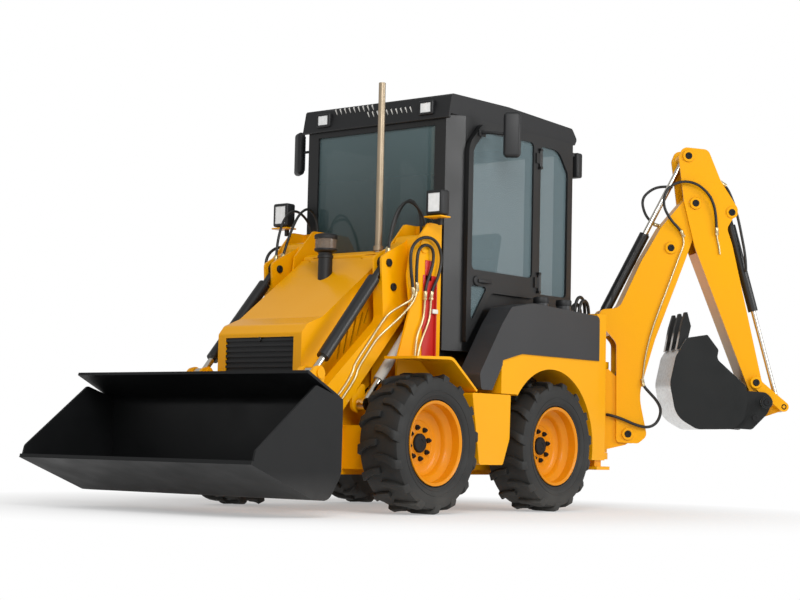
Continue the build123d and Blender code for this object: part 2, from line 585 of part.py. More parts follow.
def door_frame():
    low = CAB_HALF_WIDTH + DOOR_OFF
    leaf = outline(door_rows(0), (low, low + DOOR_THICKNESS))
    panes = [outline(rows, (low - 10, low + DOOR_THICKNESS + 10)) for rows in pane_rows(0)]
    hinges = []
    x, y = DOOR_HINGE
    for z in DOOR_HINGES_Z:
        hinges.append(bar((x, y, z - 45), (x, y, z + 45), HINGE_RADIUS))
        hinges.append(block((x, x + 45), (low + 6, low + DOOR_THICKNESS + 8), (z - 30, z + 30)))
    door = fused(leaf - panes[0] - panes[1], *hinges)
    for z in DOOR_HINGES_Z:
        door = door - bar((x, y, z - 50), (x, y, z + 50), HINGE_PIN_RADIUS + RUNNING_FIT)
    return door


def pane_rows(inset):
    upper = [(-520 - inset, 1322 + inset, 30), (-520 - inset, 1990, 90), (-620, 2095 - inset, 70),
             (-1102 + inset, 2105 - inset, 30), (-1102 + inset, 1322 + inset, 30)]
    lower = [(-520 - inset, 1030 + 2 * inset, 10), (-520 - inset, 1235 - inset, 15),
             (-670 + inset, 1235 - inset, 15)]
    return [upper, lower]


def door_glass():
    low = CAB_HALF_WIDTH + DOOR_OFF + 9
    return [outline(rows, (low, low + CAB_GLASS)) for rows in pane_rows(SEAT_GAP)]


def cab_glass():
    side, front, rear, gap = CAB_HALF_WIDTH, CAB_FRONT_X, CAB_REAR_X, SEAT_GAP
    screen = block((front - 20, front - 14), (gap - 425, 425 - gap),
                   (SCUTTLE_TOP_Z + 30 + gap, CAB_TOP_Z - 55 - gap))
    back = block((rear + 14, rear + 20), (gap - 440, 440 - gap), (1010 + gap, CAB_TOP_Z - 65 - gap))
    quarter = outline(quarter_rows(gap), (side - 20, side - 14))
    right = outline([(-520 - gap, 1240 + gap, 40), (-520 - gap, 2090 - gap, 60),
                     (-1130 + gap, 2105 - gap, 40), (-1130 + gap, 1240 + gap, 40)],
                    (14 - side, 20 - side))
    return [screen, back, quarter, mirrored(quarter), right]


def roof():
    low = CAB_TOP_Z + SEAT_GAP
    rows = [(-338, 2140, 8), (-366, ROOF_TOP_Z - 8, 20), (-900, ROOF_TOP_Z, 0), (-1560, ROOF_TOP_Z - 25, 30),
            (-1612, 2200, 20), (-1590, low, 0), (CAB_FRONT_X + 2, low, 0), (CAB_FRONT_X + 2, 2140, 0)]
    return outline(rows, (-532, 532))


def work_lamps():
    lamps = []
    for side in (1, -1):
        box = block((-262, -190), (500, 614), (1585, 1722))
        top = TOWER_TOP_Z + SEAT_GAP
        bracket = block((-300, -240), (TOWER_OUTER_Y - 14, 570), (top, top + 8))
        post = block((-262, -242), (545, 567), (top + 4, 1590))
        lamp = fused(box, bracket, post)
        lamps.append(lamp if side > 0 else mirrored(lamp))
    return lamps


def mirror_on_arm(foot_y):
    """Left mirror: a foot pad, a bent arm and the head."""
    head = block((-692, -652), (722, 806), (1935, 2135))
    arm = bar((-590, foot_y + 4, 2085), (-672, 764, 2040), 9)
    pad = block((-620, -560), (foot_y, foot_y + 8), (2065, 2105))
    return fused(head, arm, pad)


def mirror_left():
    return mirror_on_arm(CAB_HALF_WIDTH + DOOR_OFF + DOOR_THICKNESS + SEAT_GAP)


def mirror_right():
    return mirrored(mirror_on_arm(CAB_HALF_WIDTH + SEAT_GAP))


def seat():
    base = block((-1250, -800), (-230, 230), (CAB_BOTTOM_Z + CAB_FLOOR + SEAT_GAP, 1000))
    cushion = block((-1290, -780), (-240, 240), (1000, 1090))
    back = outline([(-1230, 1060, 0), (-1150, 1060, 0), (-1270, 1640, 34), (-1350, 1640, 34)], (-225, 225))
    return [base, fused(cushion, back)]


def rear_frame():
    pieces = []
    inner_col, outer_col, wall = COLUMN_INNER_Y, COLUMN_OUTER_Y, COLUMN_WALL
    for side in (1, -1):
        column = block((COLUMN_REAR_X, COLUMN_FRONT_X), (inner_col, outer_col), (COLUMN_BOTTOM_Z, COLUMN_TOP_Z))
        hollow = block((COLUMN_REAR_X + wall, COLUMN_FRONT_X - wall), (inner_col + wall, outer_col - wall),
                       (COLUMN_BOTTOM_Z - 5, COLUMN_TOP_Z - wall))
        tube = column - hollow
        pieces.append(tube if side > 0 else mirrored(tube))
    for low, high in ((300, 400), (800, 900)):
        pieces.append(block((FRAME_REAR_X + 30, CHASSIS_REAR_X), (-inner_col - 5, inner_col + 5), (low, high)))
    pieces += [lashing_eye(REAR_EYE_X, y, REAR_EYE_Z, FRAME_REAR_X + 35) for y in REAR_EYES_Y]
    pieces.append(block((FRAME_REAR_X, FRAME_REAR_X + 32), (SLEW_Y - 110, SLEW_Y + 110), (285, 905)))
    for low in (SLEW_LUG_LOW_Z, SLEW_LUG_HIGH_Z):
        lug = fused(block((SLEW_X, FRAME_REAR_X + 5), (SLEW_Y - SLEW_LUG_HALF, SLEW_Y + SLEW_LUG_HALF), (low, low + SLEW_LUG)),
                    bar((SLEW_X, SLEW_Y, low), (SLEW_X, SLEW_Y, low + SLEW_LUG), SLEW_LUG_HALF))
        pieces.append(lug)
    low_pin = bar((SLEW_X, SLEW_Y, SLEW_LUG_LOW_Z), (SLEW_X, SLEW_Y, SLEW_LUG_LOW_Z + 110), SLEW_PIN_RADIUS)
    high_pin = bar((SLEW_X, SLEW_Y, SLEW_LUG_HIGH_Z - 70), (SLEW_X, SLEW_Y, SLEW_LUG_HIGH_Z + SLEW_LUG), SLEW_PIN_RADIUS)
    return fused(*pieces, low_pin, high_pin)


def stabiliser():
    gap = COLUMN_WALL + LEG_CLEARANCE
    leg = block((COLUMN_REAR_X + gap, COLUMN_FRONT_X - gap), (COLUMN_INNER_Y + gap, COLUMN_OUTER_Y - gap),
                (FOOT_Z, 1100))
    foot = block((COLUMN_REAR_X - 25, COLUMN_FRONT_X + 15), (COLUMN_INNER_Y - 5, COLUMN_OUTER_Y + 20),
                 (FOOT_Z, FOOT_Z + 20))
    fit = COLUMN_WALL + RUNNING_FIT
    pad = block((COLUMN_REAR_X + fit, COLUMN_FRONT_X - fit), (COLUMN_INNER_Y + fit, COLUMN_OUTER_Y - fit),
                PAD_Z)
    return fused(leg, foot, pad)


# Backhoe, in its own plane
def backhoe_place(shape):
    return Pos(SLEW_X, SLEW_Y, 0) * Rot(0, 0, SLEW_HEADING) * shape


def kingpost():
    top, low = SLEW_LUG_HIGH_Z - 1, SLEW_LUG_LOW_Z + SLEW_LUG + 1
    rows = [(-40, low + 2, 10), (150, 385, 20), (215, 430, 45), (205, 500, 40), (120, 770, 50),
            (40, top - 2, 0), (-40, top - 2, 0)]
    plates = [outline(rows, (45, KINGPOST_HALF)), outline(rows, (-KINGPOST_HALF, -45))]
    bosses = [bar((0, 0, low), (0, 0, low + 95), SLEW_BOSS_RADIUS),
              bar((0, 0, top - 75), (0, 0, top), SLEW_BOSS_RADIUS)]
    web = block((-40, -22), (-KINGPOST_HALF, KINGPOST_HALF), (low + 4, top - 4))
    half = BOOM_HALF
    foot_pin = pin(BOOM_FOOT, TOWER_PIN_RADIUS, (-half - 4, half + 4))
    foot_boss = [pin(BOOM_FOOT, 44, (40, KINGPOST_HALF)), pin(BOOM_FOOT, 44, (-KINGPOST_HALF, -40))]
    ram_pin = pin(BOOM_RAM_BASE, RAM_PIN_RADIUS, (-50, 50))
    holes = [bar((0, 0, low - 5), (0, 0, low + 100), SLEW_PIN_RADIUS + RUNNING_FIT),
             bar((0, 0, top - 80), (0, 0, top + 5), SLEW_PIN_RADIUS + RUNNING_FIT)]
    return fused(*plates, *bosses, web, foot_pin, *foot_boss, ram_pin) - holes[0] - holes[1]


def boom():
    half, wall = BOOM_HALF, BOOM_PLATE
    rows = [(90, 400, 20), (225, 395, 30), (280, 440, 45), (226, 690, 300), (324, 1030, 300),
            (505, 1515, 0), (622, 1850, 55), (600, 1926, 55), (520, 1918, 50), (356, 1719, 0),
            (233, 1504, 200), (100, 1215, 60), (-20, 1200, 30), (-22, 1120, 30), (84, 1000, 60)]
    solid = outline(rows, (-half, half))
    inside = [(20, 300, 0), (270, 300, 0), (300, 430, 0), (214, 690, 300), (312, 1034, 300),
              (493, 1518, 0), (590, 1795, 0), (440, 1795, 0), (370, 1712, 0), (247, 1500, 200), (112, 1225, 60),
              (55, 1190, 0), (40, 1000, 0)]
    cavity = outline(inside, (wall - half, half - wall))
    front_gap = block((190, 400), (wall - half, half - wall), (300, 720))
    rear_slot = outline([(-60, 1080, 0), (60, 1080, 0), (75, 1180, 0), (140, 1300, 0), (0, 1300, 0)], (-37, 37))
    foot_hole = pin(BOOM_FOOT, TOWER_PIN_RADIUS + RUNNING_FIT, (-100, 100))
    tip_hole = pin(DIPPER_PIVOT, TOWER_PIN_RADIUS + RUNNING_FIT, (-100, 100))
    heads = [pin(BOOM_RAM_EYE, RAM_PIN_RADIUS, (half - 1, half + 3)), pin(BOOM_RAM_EYE, RAM_PIN_RADIUS, (-half - 3, 1 - half))]
    base_pin = pin(DIPPER_RAM_BASE, RAM_PIN_RADIUS, (-half, half))
    return fused(solid - cavity - front_gap - rear_slot - foot_hole - tip_hole, *heads, base_pin)


def dipper():
    half, wall = DIPPER_HALF, 12
    rows = [(455, 2150, 40), (480, 2215, 40), (640, 2205, 45), (722, 2010, 200), (838, 1834, 40), (796, 1780, 20),
            (762, 1722, 40), (796, 1620, 60), (985, 800, 40), (1036, 674, 46), (1008, 618, 42), (949, 636, 46), (892, 770, 60), (560, 1600, 200),
            (490, 1880, 150)]
    solid = outline(rows, (-half, half))
    top = [(380, 2300, 0), (600, 2300, 0), (628, 2196, 40), (708, 2010, 200), (760, 1915, 0), (760, 1600, 0),
           (720, 1565, 0), (400, 1565, 0)]
    head = outline(top, (wall - half, half - wall))
    lug_slot = block((750, 900), (-22, 22), (1760, 1880))
    heads = [pin(DIPPER_RAM_EYE, RAM_PIN_RADIUS, (half - 1, half + 5)), pin(DIPPER_RAM_EYE, RAM_PIN_RADIUS, (-half - 5, 1 - half))]
    pivot = pin(DIPPER_PIVOT, TOWER_PIN_RADIUS, (-half - 5, half + 5))
    base_pin = pin(DIGGER_RAM_BASE, RAM_PIN_RADIUS, (-half, half))
    lever_pin = pin(LEVER_PIVOT, RAM_PIN_RADIUS, (-LEVER_OUTER - 4, LEVER_OUTER + 4))
    low_hole = pin(DIGGER_PIVOT, RAM_PIN_RADIUS + 2 + RUNNING_FIT, (-150, 150))
    return fused(solid - head - lug_slot - low_hole, *heads, pivot, base_pin, lever_pin)


def strap(start, end, radius, y):
    """Flat bar with round ends between two pins (x, z)."""
    dx, dz = end[0] - start[0], end[1] - start[1]
    length = sqrt(dx * dx + dz * dz)
    nx, nz = -dz / length * radius, dx / length * radius
    rows = [(start[0] + nx, start[1] + nz, 0), (end[0] + nx, end[1] + nz, 0),
            (end[0] - nx, end[1] - nz, 0), (start[0] - nx, start[1] - nz, 0)]
    return fused(outline(rows, y), pin(start, radius, y), pin(end, radius, y))


def lever():
    plates = []
    for low, high in ((LEVER_INNER, LEVER_OUTER), (-LEVER_OUTER, -LEVER_INNER)):
        hole = pin(LEVER_PIVOT, RAM_PIN_RADIUS + RUNNING_FIT, (low - 5, high + 5))
        stub = pin(LEVER_EYE, 18, (37, high) if low > 0 else (low, -37))
        plates.append(fused(strap(LEVER_PIVOT, LEVER_EYE, 30, (low, high)) - hole, stub))
    return plates


def link():
    plates = []
    for low, high in ((LINK_INNER, LINK_OUTER), (-LINK_OUTER, -LINK_INNER)):
        hole = pin(LEVER_EYE, 18 + RUNNING_FIT, (low - 5, high + 5))
        plates.append(strap(LEVER_EYE, DIGGER_HORN, 24, (low, high)) - hole)
    return fused(*plates, pin(DIGGER_HORN, 20, (-LINK_OUTER, LINK_OUTER)))


def digger_bucket():
    half, wall = DIGGER_HALF_WIDTH, DIGGER_WALL
    side = [(505, 1040, 0), (493, 1036, 0), (425, 925, 60), (390, 760, 150), (430, 560, 150), (560, 488, 80),
            (790, 494, 40), (852, 556, 40), (874, 668, 30), (864, 752, 0), (840, 775, 0), (680, 915, 40),
            (690, 970, 20), (620, 1060, 10)]
    inside = [(540, 1096, 0), (441, 918, 60), (403, 760, 150), (443, 567, 140), (565, 502, 80), (784, 508, 32),
              (840, 564, 32), (860, 668, 20), (850, 800, 0), (850, 1200, 0), (540, 1200, 0)]
    ear = [(790, 500, 0), (915, 494, 30), (1010, 590, 60), (1050, 680, 40), (1000, 722, 40), (859, 730, 0),
           (867, 668, 0), (846, 560, 0)]
    horn = [(790, 501, 0), (900, 506, 20), (952, 530, 30), (958, 585, 28), (925, 606, 26), (862, 612, 0),
            (847, 558, 0)]
    tooth = [(436, 965, 0), (500, 1010, 0), (523, 1110, 0), (500, 1194, 0), (486, 1194, 0), (462, 1110, 0)]
    pieces = [outline(side, (-half, half)) - outline(inside, (wall - half, half - wall))]
    for rows, low, high in ((ear, DIGGER_EAR_INNER, DIGGER_EAR_OUTER), (horn, HORN_INNER, HORN_OUTER)):
        pieces += [outline(rows, (low, high)), outline(rows, (-high, -low))]
    reach = DIGGER_EAR_OUTER + 6
    pieces.append(pin(DIGGER_PIVOT, RAM_PIN_RADIUS + 2, (-reach, reach)))
    pieces += [outline(tooth, (y - 20, y + 20)) for y in (-140, 0, 140)]
    return fused(*pieces)


def backhoe_rams():
    return {
        "boom_ram": (ram_barrel(BOOM_RAM_BASE, BOOM_RAM_EYE, BOOM_BARREL, BOOM_BARREL_RADIUS, BOOM_ROD_RADIUS, 0, 38),
                     ram_rod(BOOM_RAM_BASE, BOOM_RAM_EYE, 100, BOOM_ROD_RADIUS, 0, 60)),
        "dipper_ram": (ram_barrel(DIPPER_RAM_BASE, DIPPER_RAM_EYE, DIPPER_BARREL, DIPPER_BARREL_RADIUS,
                                  DIPPER_ROD_RADIUS, 0, 31, DIPPER_RAM_NECK),
                       ram_rod(DIPPER_RAM_BASE, DIPPER_RAM_EYE, 535, DIPPER_ROD_RADIUS, 0, 76)),
        "digger_ram": (ram_barrel(DIGGER_RAM_BASE, LEVER_EYE, DIGGER_BARREL, DIGGER_BARREL_RADIUS, DIGGER_ROD_RADIUS, 0, 21),
                       ram_rod(DIGGER_RAM_BASE, LEVER_EYE, 560, DIGGER_ROD_RADIUS, 0, 34)),
    }


def save(name, shape):
    """Write one node in the part's own frame."""
    solids = list(shape) if isinstance(shape, (list, tuple)) else [shape]
    moved = [Pos(FRONT_AXLE_X, CENTRE_PLANE_Y, 0) * solid for solid in solids]
    found = []
    for solid in moved:
        found += solid.solids()
    export_step(Compound(children=found), f"parts/{name}.step")


def main():
    os.makedirs("parts", exist_ok=True)
    for corner, axle_x, side in (("front_left", 0, 1), ("front_right", 0, -1),
                                 ("rear_left", -WHEELBASE, 1), ("rear_right", -WHEELBASE, -1)):
        save(f"tyre_{corner}", at_wheel(tyre(), axle_x, side))
        save(f"rim_{corner}", at_wheel(rim(), axle_x, side))
    crowd_barrels, crowd_rods = crowd_rams()
    lift_barrels, lift_rods = lift_rams()
    nodes = {
        "chassis": chassis(), "engine_block": engine(), "loader_towers": towers(),
        "bonnet": bonnet(), "grille": grille(), "pre_cleaner": pre_cleaner(), "scuttle": scuttle(),
        "exhaust_stack": exhaust(), "arm_left": arm(), "arm_right": mirrored(arm()),
        "arm_cross_tube": cross_tube(), "loader_bucket": loader_bucket(), "bucket_hitch": hitch(),
        "crowd_ram_barrels": crowd_barrels, "crowd_ram_rods": crowd_rods,
        "lift_ram_barrels": lift_barrels, "lift_ram_rods": lift_rods,
        "front_fenders": fenders(), "side_pods": side_pods(), "rear_wings": rear_wings(),
        "tank_covers": tank_covers(), "cab_shell": cab_shell(), "cab_roof": roof(),
        "cab_glass": cab_glass(), "door_frame": door_frame(), "door_glass": door_glass(),
        "work_lamps": work_lamps(), "mirror_left": mirror_left(),
        "mirror_right": mirror_right(), "seat": seat(), "rear_frame": rear_frame(),
        "stabiliser_left": stabiliser(), "stabiliser_right": mirrored(stabiliser()),
    }
    digging = {"kingpost": kingpost(), "boom": boom(), "dipper": dipper(), "tipping_lever": lever(),
               "tipping_link": link(), "digger_bucket": digger_bucket()}
    for name, (barrel, rod) in backhoe_rams().items():
        digging[f"{name}_barrel"] = barrel
        digging[f"{name}_rod"] = rod
    for name, shape in digging.items():
        solids = shape if isinstance(shape, list) else [shape]
        nodes[name] = [backhoe_place(solid) for solid in solids]
    for name, shape in nodes.items():
        save(name, shape)


main()
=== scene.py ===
import math

import bmesh
import bpy
from mathutils import Matrix, Vector


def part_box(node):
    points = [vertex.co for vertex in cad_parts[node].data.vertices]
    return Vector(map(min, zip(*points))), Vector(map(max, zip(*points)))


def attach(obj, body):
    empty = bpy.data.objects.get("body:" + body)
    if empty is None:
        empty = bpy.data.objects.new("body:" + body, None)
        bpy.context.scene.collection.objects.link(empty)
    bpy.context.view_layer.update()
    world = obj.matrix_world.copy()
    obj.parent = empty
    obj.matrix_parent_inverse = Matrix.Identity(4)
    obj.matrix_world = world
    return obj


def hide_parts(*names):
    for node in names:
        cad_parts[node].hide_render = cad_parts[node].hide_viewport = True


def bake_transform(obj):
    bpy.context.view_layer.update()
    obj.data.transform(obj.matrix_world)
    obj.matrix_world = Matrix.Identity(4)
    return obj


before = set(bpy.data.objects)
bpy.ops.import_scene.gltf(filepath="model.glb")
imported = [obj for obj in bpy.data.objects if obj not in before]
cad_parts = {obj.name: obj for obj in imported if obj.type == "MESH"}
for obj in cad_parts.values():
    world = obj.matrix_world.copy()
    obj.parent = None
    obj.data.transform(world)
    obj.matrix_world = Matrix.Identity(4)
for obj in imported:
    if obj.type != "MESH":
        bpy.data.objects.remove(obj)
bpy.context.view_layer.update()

# Sizes are written in millimetres as on the machine: x from the front axle forward, y from the
# centre plane to the left, z from the ground up. The file's own frame is moved by SHIFT.
MM = 0.001
SHIFT = Vector((705.0, -292.5, 0.0))
TYRE_Z = 366.0
WHEEL_Y = 642.0
REAR_AXLE_X = -1104.0
SIDES = ((1, "left"), (-1, "right"))
# The digging arm's own upright plane: out from the slewing axis, up, and across the plane.
SLEW_X, SLEW_Y, HEADING = -1950.0, 500.0, math.radians(135)
ACROSS = Vector((-math.sin(HEADING), math.cos(HEADING), 0))
# Points nearer to each other than this many metres are welded.
WELD, HOSE_WELD = 0.00002, 0.00001


def on(x, y, z):
    """A place on the machine, in metres in the file's frame."""
    return (Vector((x, y, z)) + SHIFT) * MM


def digging(out, up, across):
    """A place on the digging arm, told in the arm's own plane."""
    c, s = math.cos(HEADING), math.sin(HEADING)
    return on(SLEW_X + out * c - across * s, SLEW_Y + out * s + across * c, up)


def on_route(rows, side=1):
    """Places along a route on the machine, told for the left and mirrored where side is -1."""
    return [on(x, side * y, z) for x, y, z in rows]


def arm_route(rows):
    """Places along a route on the digging arm."""
    return [digging(*row) for row in rows]


# Materials
def linear(hex_colour):
    """An sRGB hex colour as the linear colour that a shader takes."""
    parts = [int(hex_colour[i:i + 2], 16) / 255 for i in (1, 3, 5)]
    return [c / 12.92 if c <= 0.04045 else ((c + 0.055) / 1.055) ** 2.4 for c in parts] + [1.0]


def add(tree, kind, inputs=None, **settings):
    """Adds one node; inputs maps its sockets to plain values or to other nodes' sockets."""
    new = tree.nodes.new(kind)
    for name, value in settings.items():
        setattr(new, name, value)
    for name, value in (inputs or {}).items():
        if isinstance(value, bpy.types.NodeSocket):
            tree.links.new(value, new.inputs[name])
        else:
            new.inputs[name].default_value = value
    return new


# A Mix node's sockets by number, because their names repeat: first, second and result.
MIX_COLOUR, MIX_VALUE = (6, 7, 2), (2, 3, 0)


def mixed(tree, factor, under, over, sockets=MIX_COLOUR):
    """Goes from under to over with a factor from 0 to 1; both are colours or both are values."""
    first, second, result = sockets
    kind = "RGBA" if sockets == MIX_COLOUR else "FLOAT"
    return add(tree, "ShaderNodeMix", {"Factor": factor, first: under, second: over},
               data_type=kind).outputs[result]


def maths(tree, operation, first, second):
    return add(tree, "ShaderNodeMath", {0: first, 1: second}, operation=operation).outputs[0]


def ranged(tree, value, low, high, out_low=0.0, out_high=1.0):
    """Maps values from low to high onto out_low to out_high, and stops at both ends."""
    return add(tree, "ShaderNodeMapRange", {"Value": value, "From Min": low, "From Max": high,
                                            "To Min": out_low, "To Max": out_high}).outputs["Result"]


def noise(tree, place, scale, detail):
    return add(tree, "ShaderNodeTexNoise",
               {"Vector": place, "Scale": scale, "Detail": detail}).outputs["Fac"]


def along(tree, vector, way):
    """How far a vector points along a fixed way."""
    return add(tree, "ShaderNodeVectorMath", {0: vector, 1: way},
               operation="DOT_PRODUCT").outputs["Value"]


def band(tree, value, low, high, soft):
    """1 where a value lies between low and high, fading over soft at both ends."""
    return maths(tree, "MULTIPLY", ranged(tree, value, low - soft, low + soft),
                 ranged(tree, value, high + soft, high - soft))


def finish_of(name, surface, colours, grain_mm, bump_mm, roughness, patch_mm=350.0):
    """A material whose colour drifts between two shades over patches, with a fine grain in its
    bump and roughness. surface holds the values that are the same all over."""
    material = bpy.data.materials.new(name)
    material.use_nodes = True
    tree = material.node_tree
    shader = tree.nodes["Principled BSDF"]
    place = add(tree, "ShaderNodeTexCoord").outputs["Object"]
    patches = noise(tree, place, 1 / (patch_mm * MM), 3.0)
    grain = noise(tree, place, 1 / (grain_mm * MM), 2.0)
    bump = add(tree, "ShaderNodeBump", {"Height": grain, "Distance": bump_mm * MM, "Strength": 0.5})
    shade = mixed(tree, patches, linear(colours[0]), linear(colours[1]))
    tree.links.new(shade, shader.inputs["Base Color"])
    tree.links.new(ranged(tree, patches, 0.3, 0.7, *roughness), shader.inputs["Roughness"])
    tree.links.new(bump.outputs["Normal"], shader.inputs["Normal"])
    for socket, value in surface.items():
        shader.inputs[socket].default_value = value
    return material


def overlaid(material, mask, colour, roughness, metallic=None):
    """Lays a second finish over a material where mask, a socket from 0 to 1, is high."""
    tree = material.node_tree
    shader = tree.nodes["Principled BSDF"]
    layers = [("Base Color", linear(colour), MIX_COLOUR), ("Roughness", roughness, MIX_VALUE)]
    if metallic is not None:
        layers.append(("Metallic", metallic, MIX_VALUE))
    for socket, value, sockets in layers:
        linked = shader.inputs[socket].links
        under = linked[0].from_socket if linked else shader.inputs[socket].default_value
        tree.links.new(mixed(tree, mask, under, value, sockets), shader.inputs[socket])


# Sprayed two-pack enamel on steel: warm yellow, glossy under a clear film, with slight orange peel.
YELLOW = {"IOR": 1.5, "Specular IOR Level": 0.22, "Coat Weight": 0.12, "Coat Roughness": 0.08}
yellow_enamel = finish_of("yellow_enamel_sprayed", YELLOW, ("#f1aa00", "#eda200"), 5.0, 0.05, (0.28, 0.36))
# The same enamel on the wheels, a little duller with brake dust and road film, and deeper in colour:
# painted shade.
rim_enamel_shaded = finish_of("rim_enamel_painted_shade", YELLOW, ("#e08f0a", "#d88408"), 5.0, 0.06, (0.34, 0.46), 90.0)
# Satin black enamel: the same spray with less gloss, greyer where dust has settled.
black_enamel = finish_of("black_enamel_satin", {"IOR": 1.5, "Coat Weight": 0.1, "Coat Roughness": 0.25},
                         ("#0d0e0f", "#141516"), 5.0, 0.08, (0.34, 0.48))
# Bucket paint: charcoal enamel on rolled plate, matt, with faint rolling marks.
bucket_enamel = finish_of("bucket_enamel_charcoal", {"IOR": 1.5, "Specular IOR Level": 0.25},
                          ("#111213", "#191a1b"), 9.0, 0.3, (0.42, 0.58), 240.0)
# The digging bucket's: the same, a little glossier.
digger_enamel = finish_of("digger_enamel_charcoal", {"IOR": 1.5, "Specular IOR Level": 0.3},
                          ("#101212", "#181a1a"), 9.0, 0.3, (0.4, 0.55), 160.0)
# Black moulded polythene: dull, with a fine leather-like grain from the mould.
black_plastic = finish_of("black_plastic_moulded", {"IOR": 1.49}, ("#121315", "#1a1b1d"), 2.5, 0.25,
                          (0.46, 0.58))
# Side covers: charcoal polythene, smoother and greyer than the rest.
cover_plastic = finish_of("cover_plastic_moulded", {"IOR": 1.49}, ("#2b2c2e", "#333436"), 2.5, 0.2,
                          (0.4, 0.5))
# Tyre rubber: carbon black, dull and faintly brown.
tyre_rubber = finish_of("tyre_rubber_vulcanised", {"IOR": 1.52}, ("#181918", "#20201f"), 3.0, 0.4,
                        (0.6, 0.76), 120.0)
# Hose rubber: black, with the cloth wrap's fine print.
hose_rubber = finish_of("hose_rubber_wrapped", {"IOR": 1.52}, ("#121211", "#1a1a19"), 2.0, 0.3,
                        (0.42, 0.55), 40.0)
# Hard chromium on ground steel rod: bright, with a faint draw from the seals.
chrome_rod = finish_of("rod_hard_chrome", {"Metallic": 1.0}, ("#dcd8cf", "#c9c4b8"), 2.0, 0.01,
                       (0.14, 0.22), 60.0)
# Zinc plating, yellow passivated: pipes and fittings, straw-coloured and softly bright.
zinc_plate = finish_of("steel_zinc_passivated", {"Metallic": 0.9}, ("#d8c9a4", "#c2b084"), 3.0, 0.03,
                       (0.28, 0.4), 40.0)
# Lift ram barrels: pale grey primer on tube.
grey_primer = finish_of("ram_primer_pale_grey", {"IOR": 1.5}, ("#b9b5ad", "#a9a49b"), 4.0, 0.06,
                        (0.4, 0.5), 80.0)
# Exhaust pipe: aluminised steel gone straw-coloured with heat.
exhaust_steel = finish_of("exhaust_aluminised_steel", {"Metallic": 0.6}, ("#b3a28a", "#9c8b73"), 2.0,
                          0.05, (0.38, 0.5), 90.0)
# Engine castings and pin heads: rough grey-black iron, painted thinly.
cast_iron = finish_of("engine_cast_iron", {"Metallic": 0.4}, ("#1c1d1e", "#141516"), 2.5, 0.5,
                      (0.6, 0.75))
# Red enamel on the safety struts.
red_enamel = finish_of("red_enamel_sprayed", {"IOR": 1.5, "Coat Weight": 0.2, "Coat Roughness": 0.1},
                       ("#c4261f", "#b31f19"), 5.0, 0.05, (0.3, 0.4))
# White nylon on the struts' clips. The visor's panes take the same pale colour as painted light, standing
# for the light that falls through the visor's slots.
white_nylon_and_painted_light = finish_of("nylon_white_and_painted_light", {"IOR": 1.53}, ("#e6e4df", "#dad8d2"), 2.0, 0.05,
                        (0.4, 0.5), 30.0)
# Seat cloth: charcoal polyester, with the print of its 3 mm weave.
seat_cloth = finish_of("seat_polyester_woven", {"IOR": 1.45, "Sheen Weight": 0.3},
                       ("#1f2022", "#2a2b2d"), 3.0, 0.5, (0.8, 0.9), 90.0)

# Bare steel where soil scours the digging bucket: the outer back between its cheeks and the tooth
# shanks. The normal and the height tell where, and both turn with the bucket.
OUTWARD = Vector((-math.cos(HEADING), -math.sin(HEADING), -0.25))
tree = digger_enamel.node_tree
where = add(tree, "ShaderNodeTexCoord")
normal, place = where.outputs["Normal"], where.outputs["Object"]
aside = add(tree, "ShaderNodeMath", {0: along(tree, normal, ACROSS)}, operation="ABSOLUTE").outputs[0]
height = add(tree, "ShaderNodeSeparateXYZ", {"Vector": place}).outputs["Z"]
scoured = ranged(tree, noise(tree, place, 60.0, 4.0), 0.25, 0.6, 0.75, 1.0)
for part in (band(tree, aside, -1.0, 0.4, 0.1), band(tree, along(tree, normal, OUTWARD), 0.1, 2.0, 0.15),
             band(tree, height, 0.3, 1.06, 0.02)):
    scoured = maths(tree, "MULTIPLY", scoured, part)
overlaid(digger_enamel, scoured, "#e2e3e2", 0.3, 0.8)

# Dry dust on the tyres' tread and the bucket's floor, as a thin paler film up to a height in metres.
for dusty, low, high, colour in ((tyre_rubber, -0.1, 0.12, "#4a4844"),
                                 (bucket_enamel, 0.0, 0.16, "#454443")):
    tree = dusty.node_tree
    place = add(tree, "ShaderNodeTexCoord").outputs["Object"]
    height = add(tree, "ShaderNodeSeparateXYZ", {"Vector": place}).outputs["Z"]
    film = maths(tree, "MULTIPLY", band(tree, height, low, high, 0.06), noise(tree, place, 9.0, 5.0))
    overlaid(dusty, film, colour, 0.85)


def clear_of(name, colour, alpha, roughness, ior):
    """A clear material that lets a share of what is behind it show."""
    material = bpy.data.materials.new(name)
    material.use_nodes = True
    shader = material.node_tree.nodes["Principled BSDF"]
    for socket, value in (("Base Color", linear(colour)), ("Alpha", alpha), ("Roughness", roughness),
                          ("IOR", ior)):
        shader.inputs[socket].default_value = value
    return material


# Toughened cab glass with a light green-grey tint. Ahead of SCREEN_X, in metres, it is the laminated
# windscreen: a deeper tint, darkening toward its foot as painted shade.
SCREEN_X = 0.30
PANE_TINT, PANE_ALPHA = "#6f8287", 0.5
cab_tint = clear_of("cab_glass_tinted", PANE_TINT, PANE_ALPHA, 0.02, 1.52)
tree = cab_tint.node_tree
glass = tree.nodes["Principled BSDF"]
where = add(tree, "ShaderNodeSeparateXYZ", {"Vector": add(tree, "ShaderNodeTexCoord").outputs["Object"]})
screen = ranged(tree, where.outputs["X"], SCREEN_X, SCREEN_X + 0.01)
# The windscreen's colour darkens from its top down to its foot: painted shade.
shade = mixed(tree, ranged(tree, where.outputs["Z"], 1.4, 2.1), linear("#26393a"), linear("#56696c"))
tree.links.new(mixed(tree, screen, linear(PANE_TINT), shade), glass.inputs["Base Color"])
tree.links.new(ranged(tree, screen, 0.0, 1.0, PANE_ALPHA, 0.82), glass.inputs["Alpha"])
# Pre-cleaner bowl: clear polycarbonate, browned by dust.
bowl_clear = clear_of("bowl_polycarbonate_dusty", "#85776a", 0.55, 0.15, 1.58)
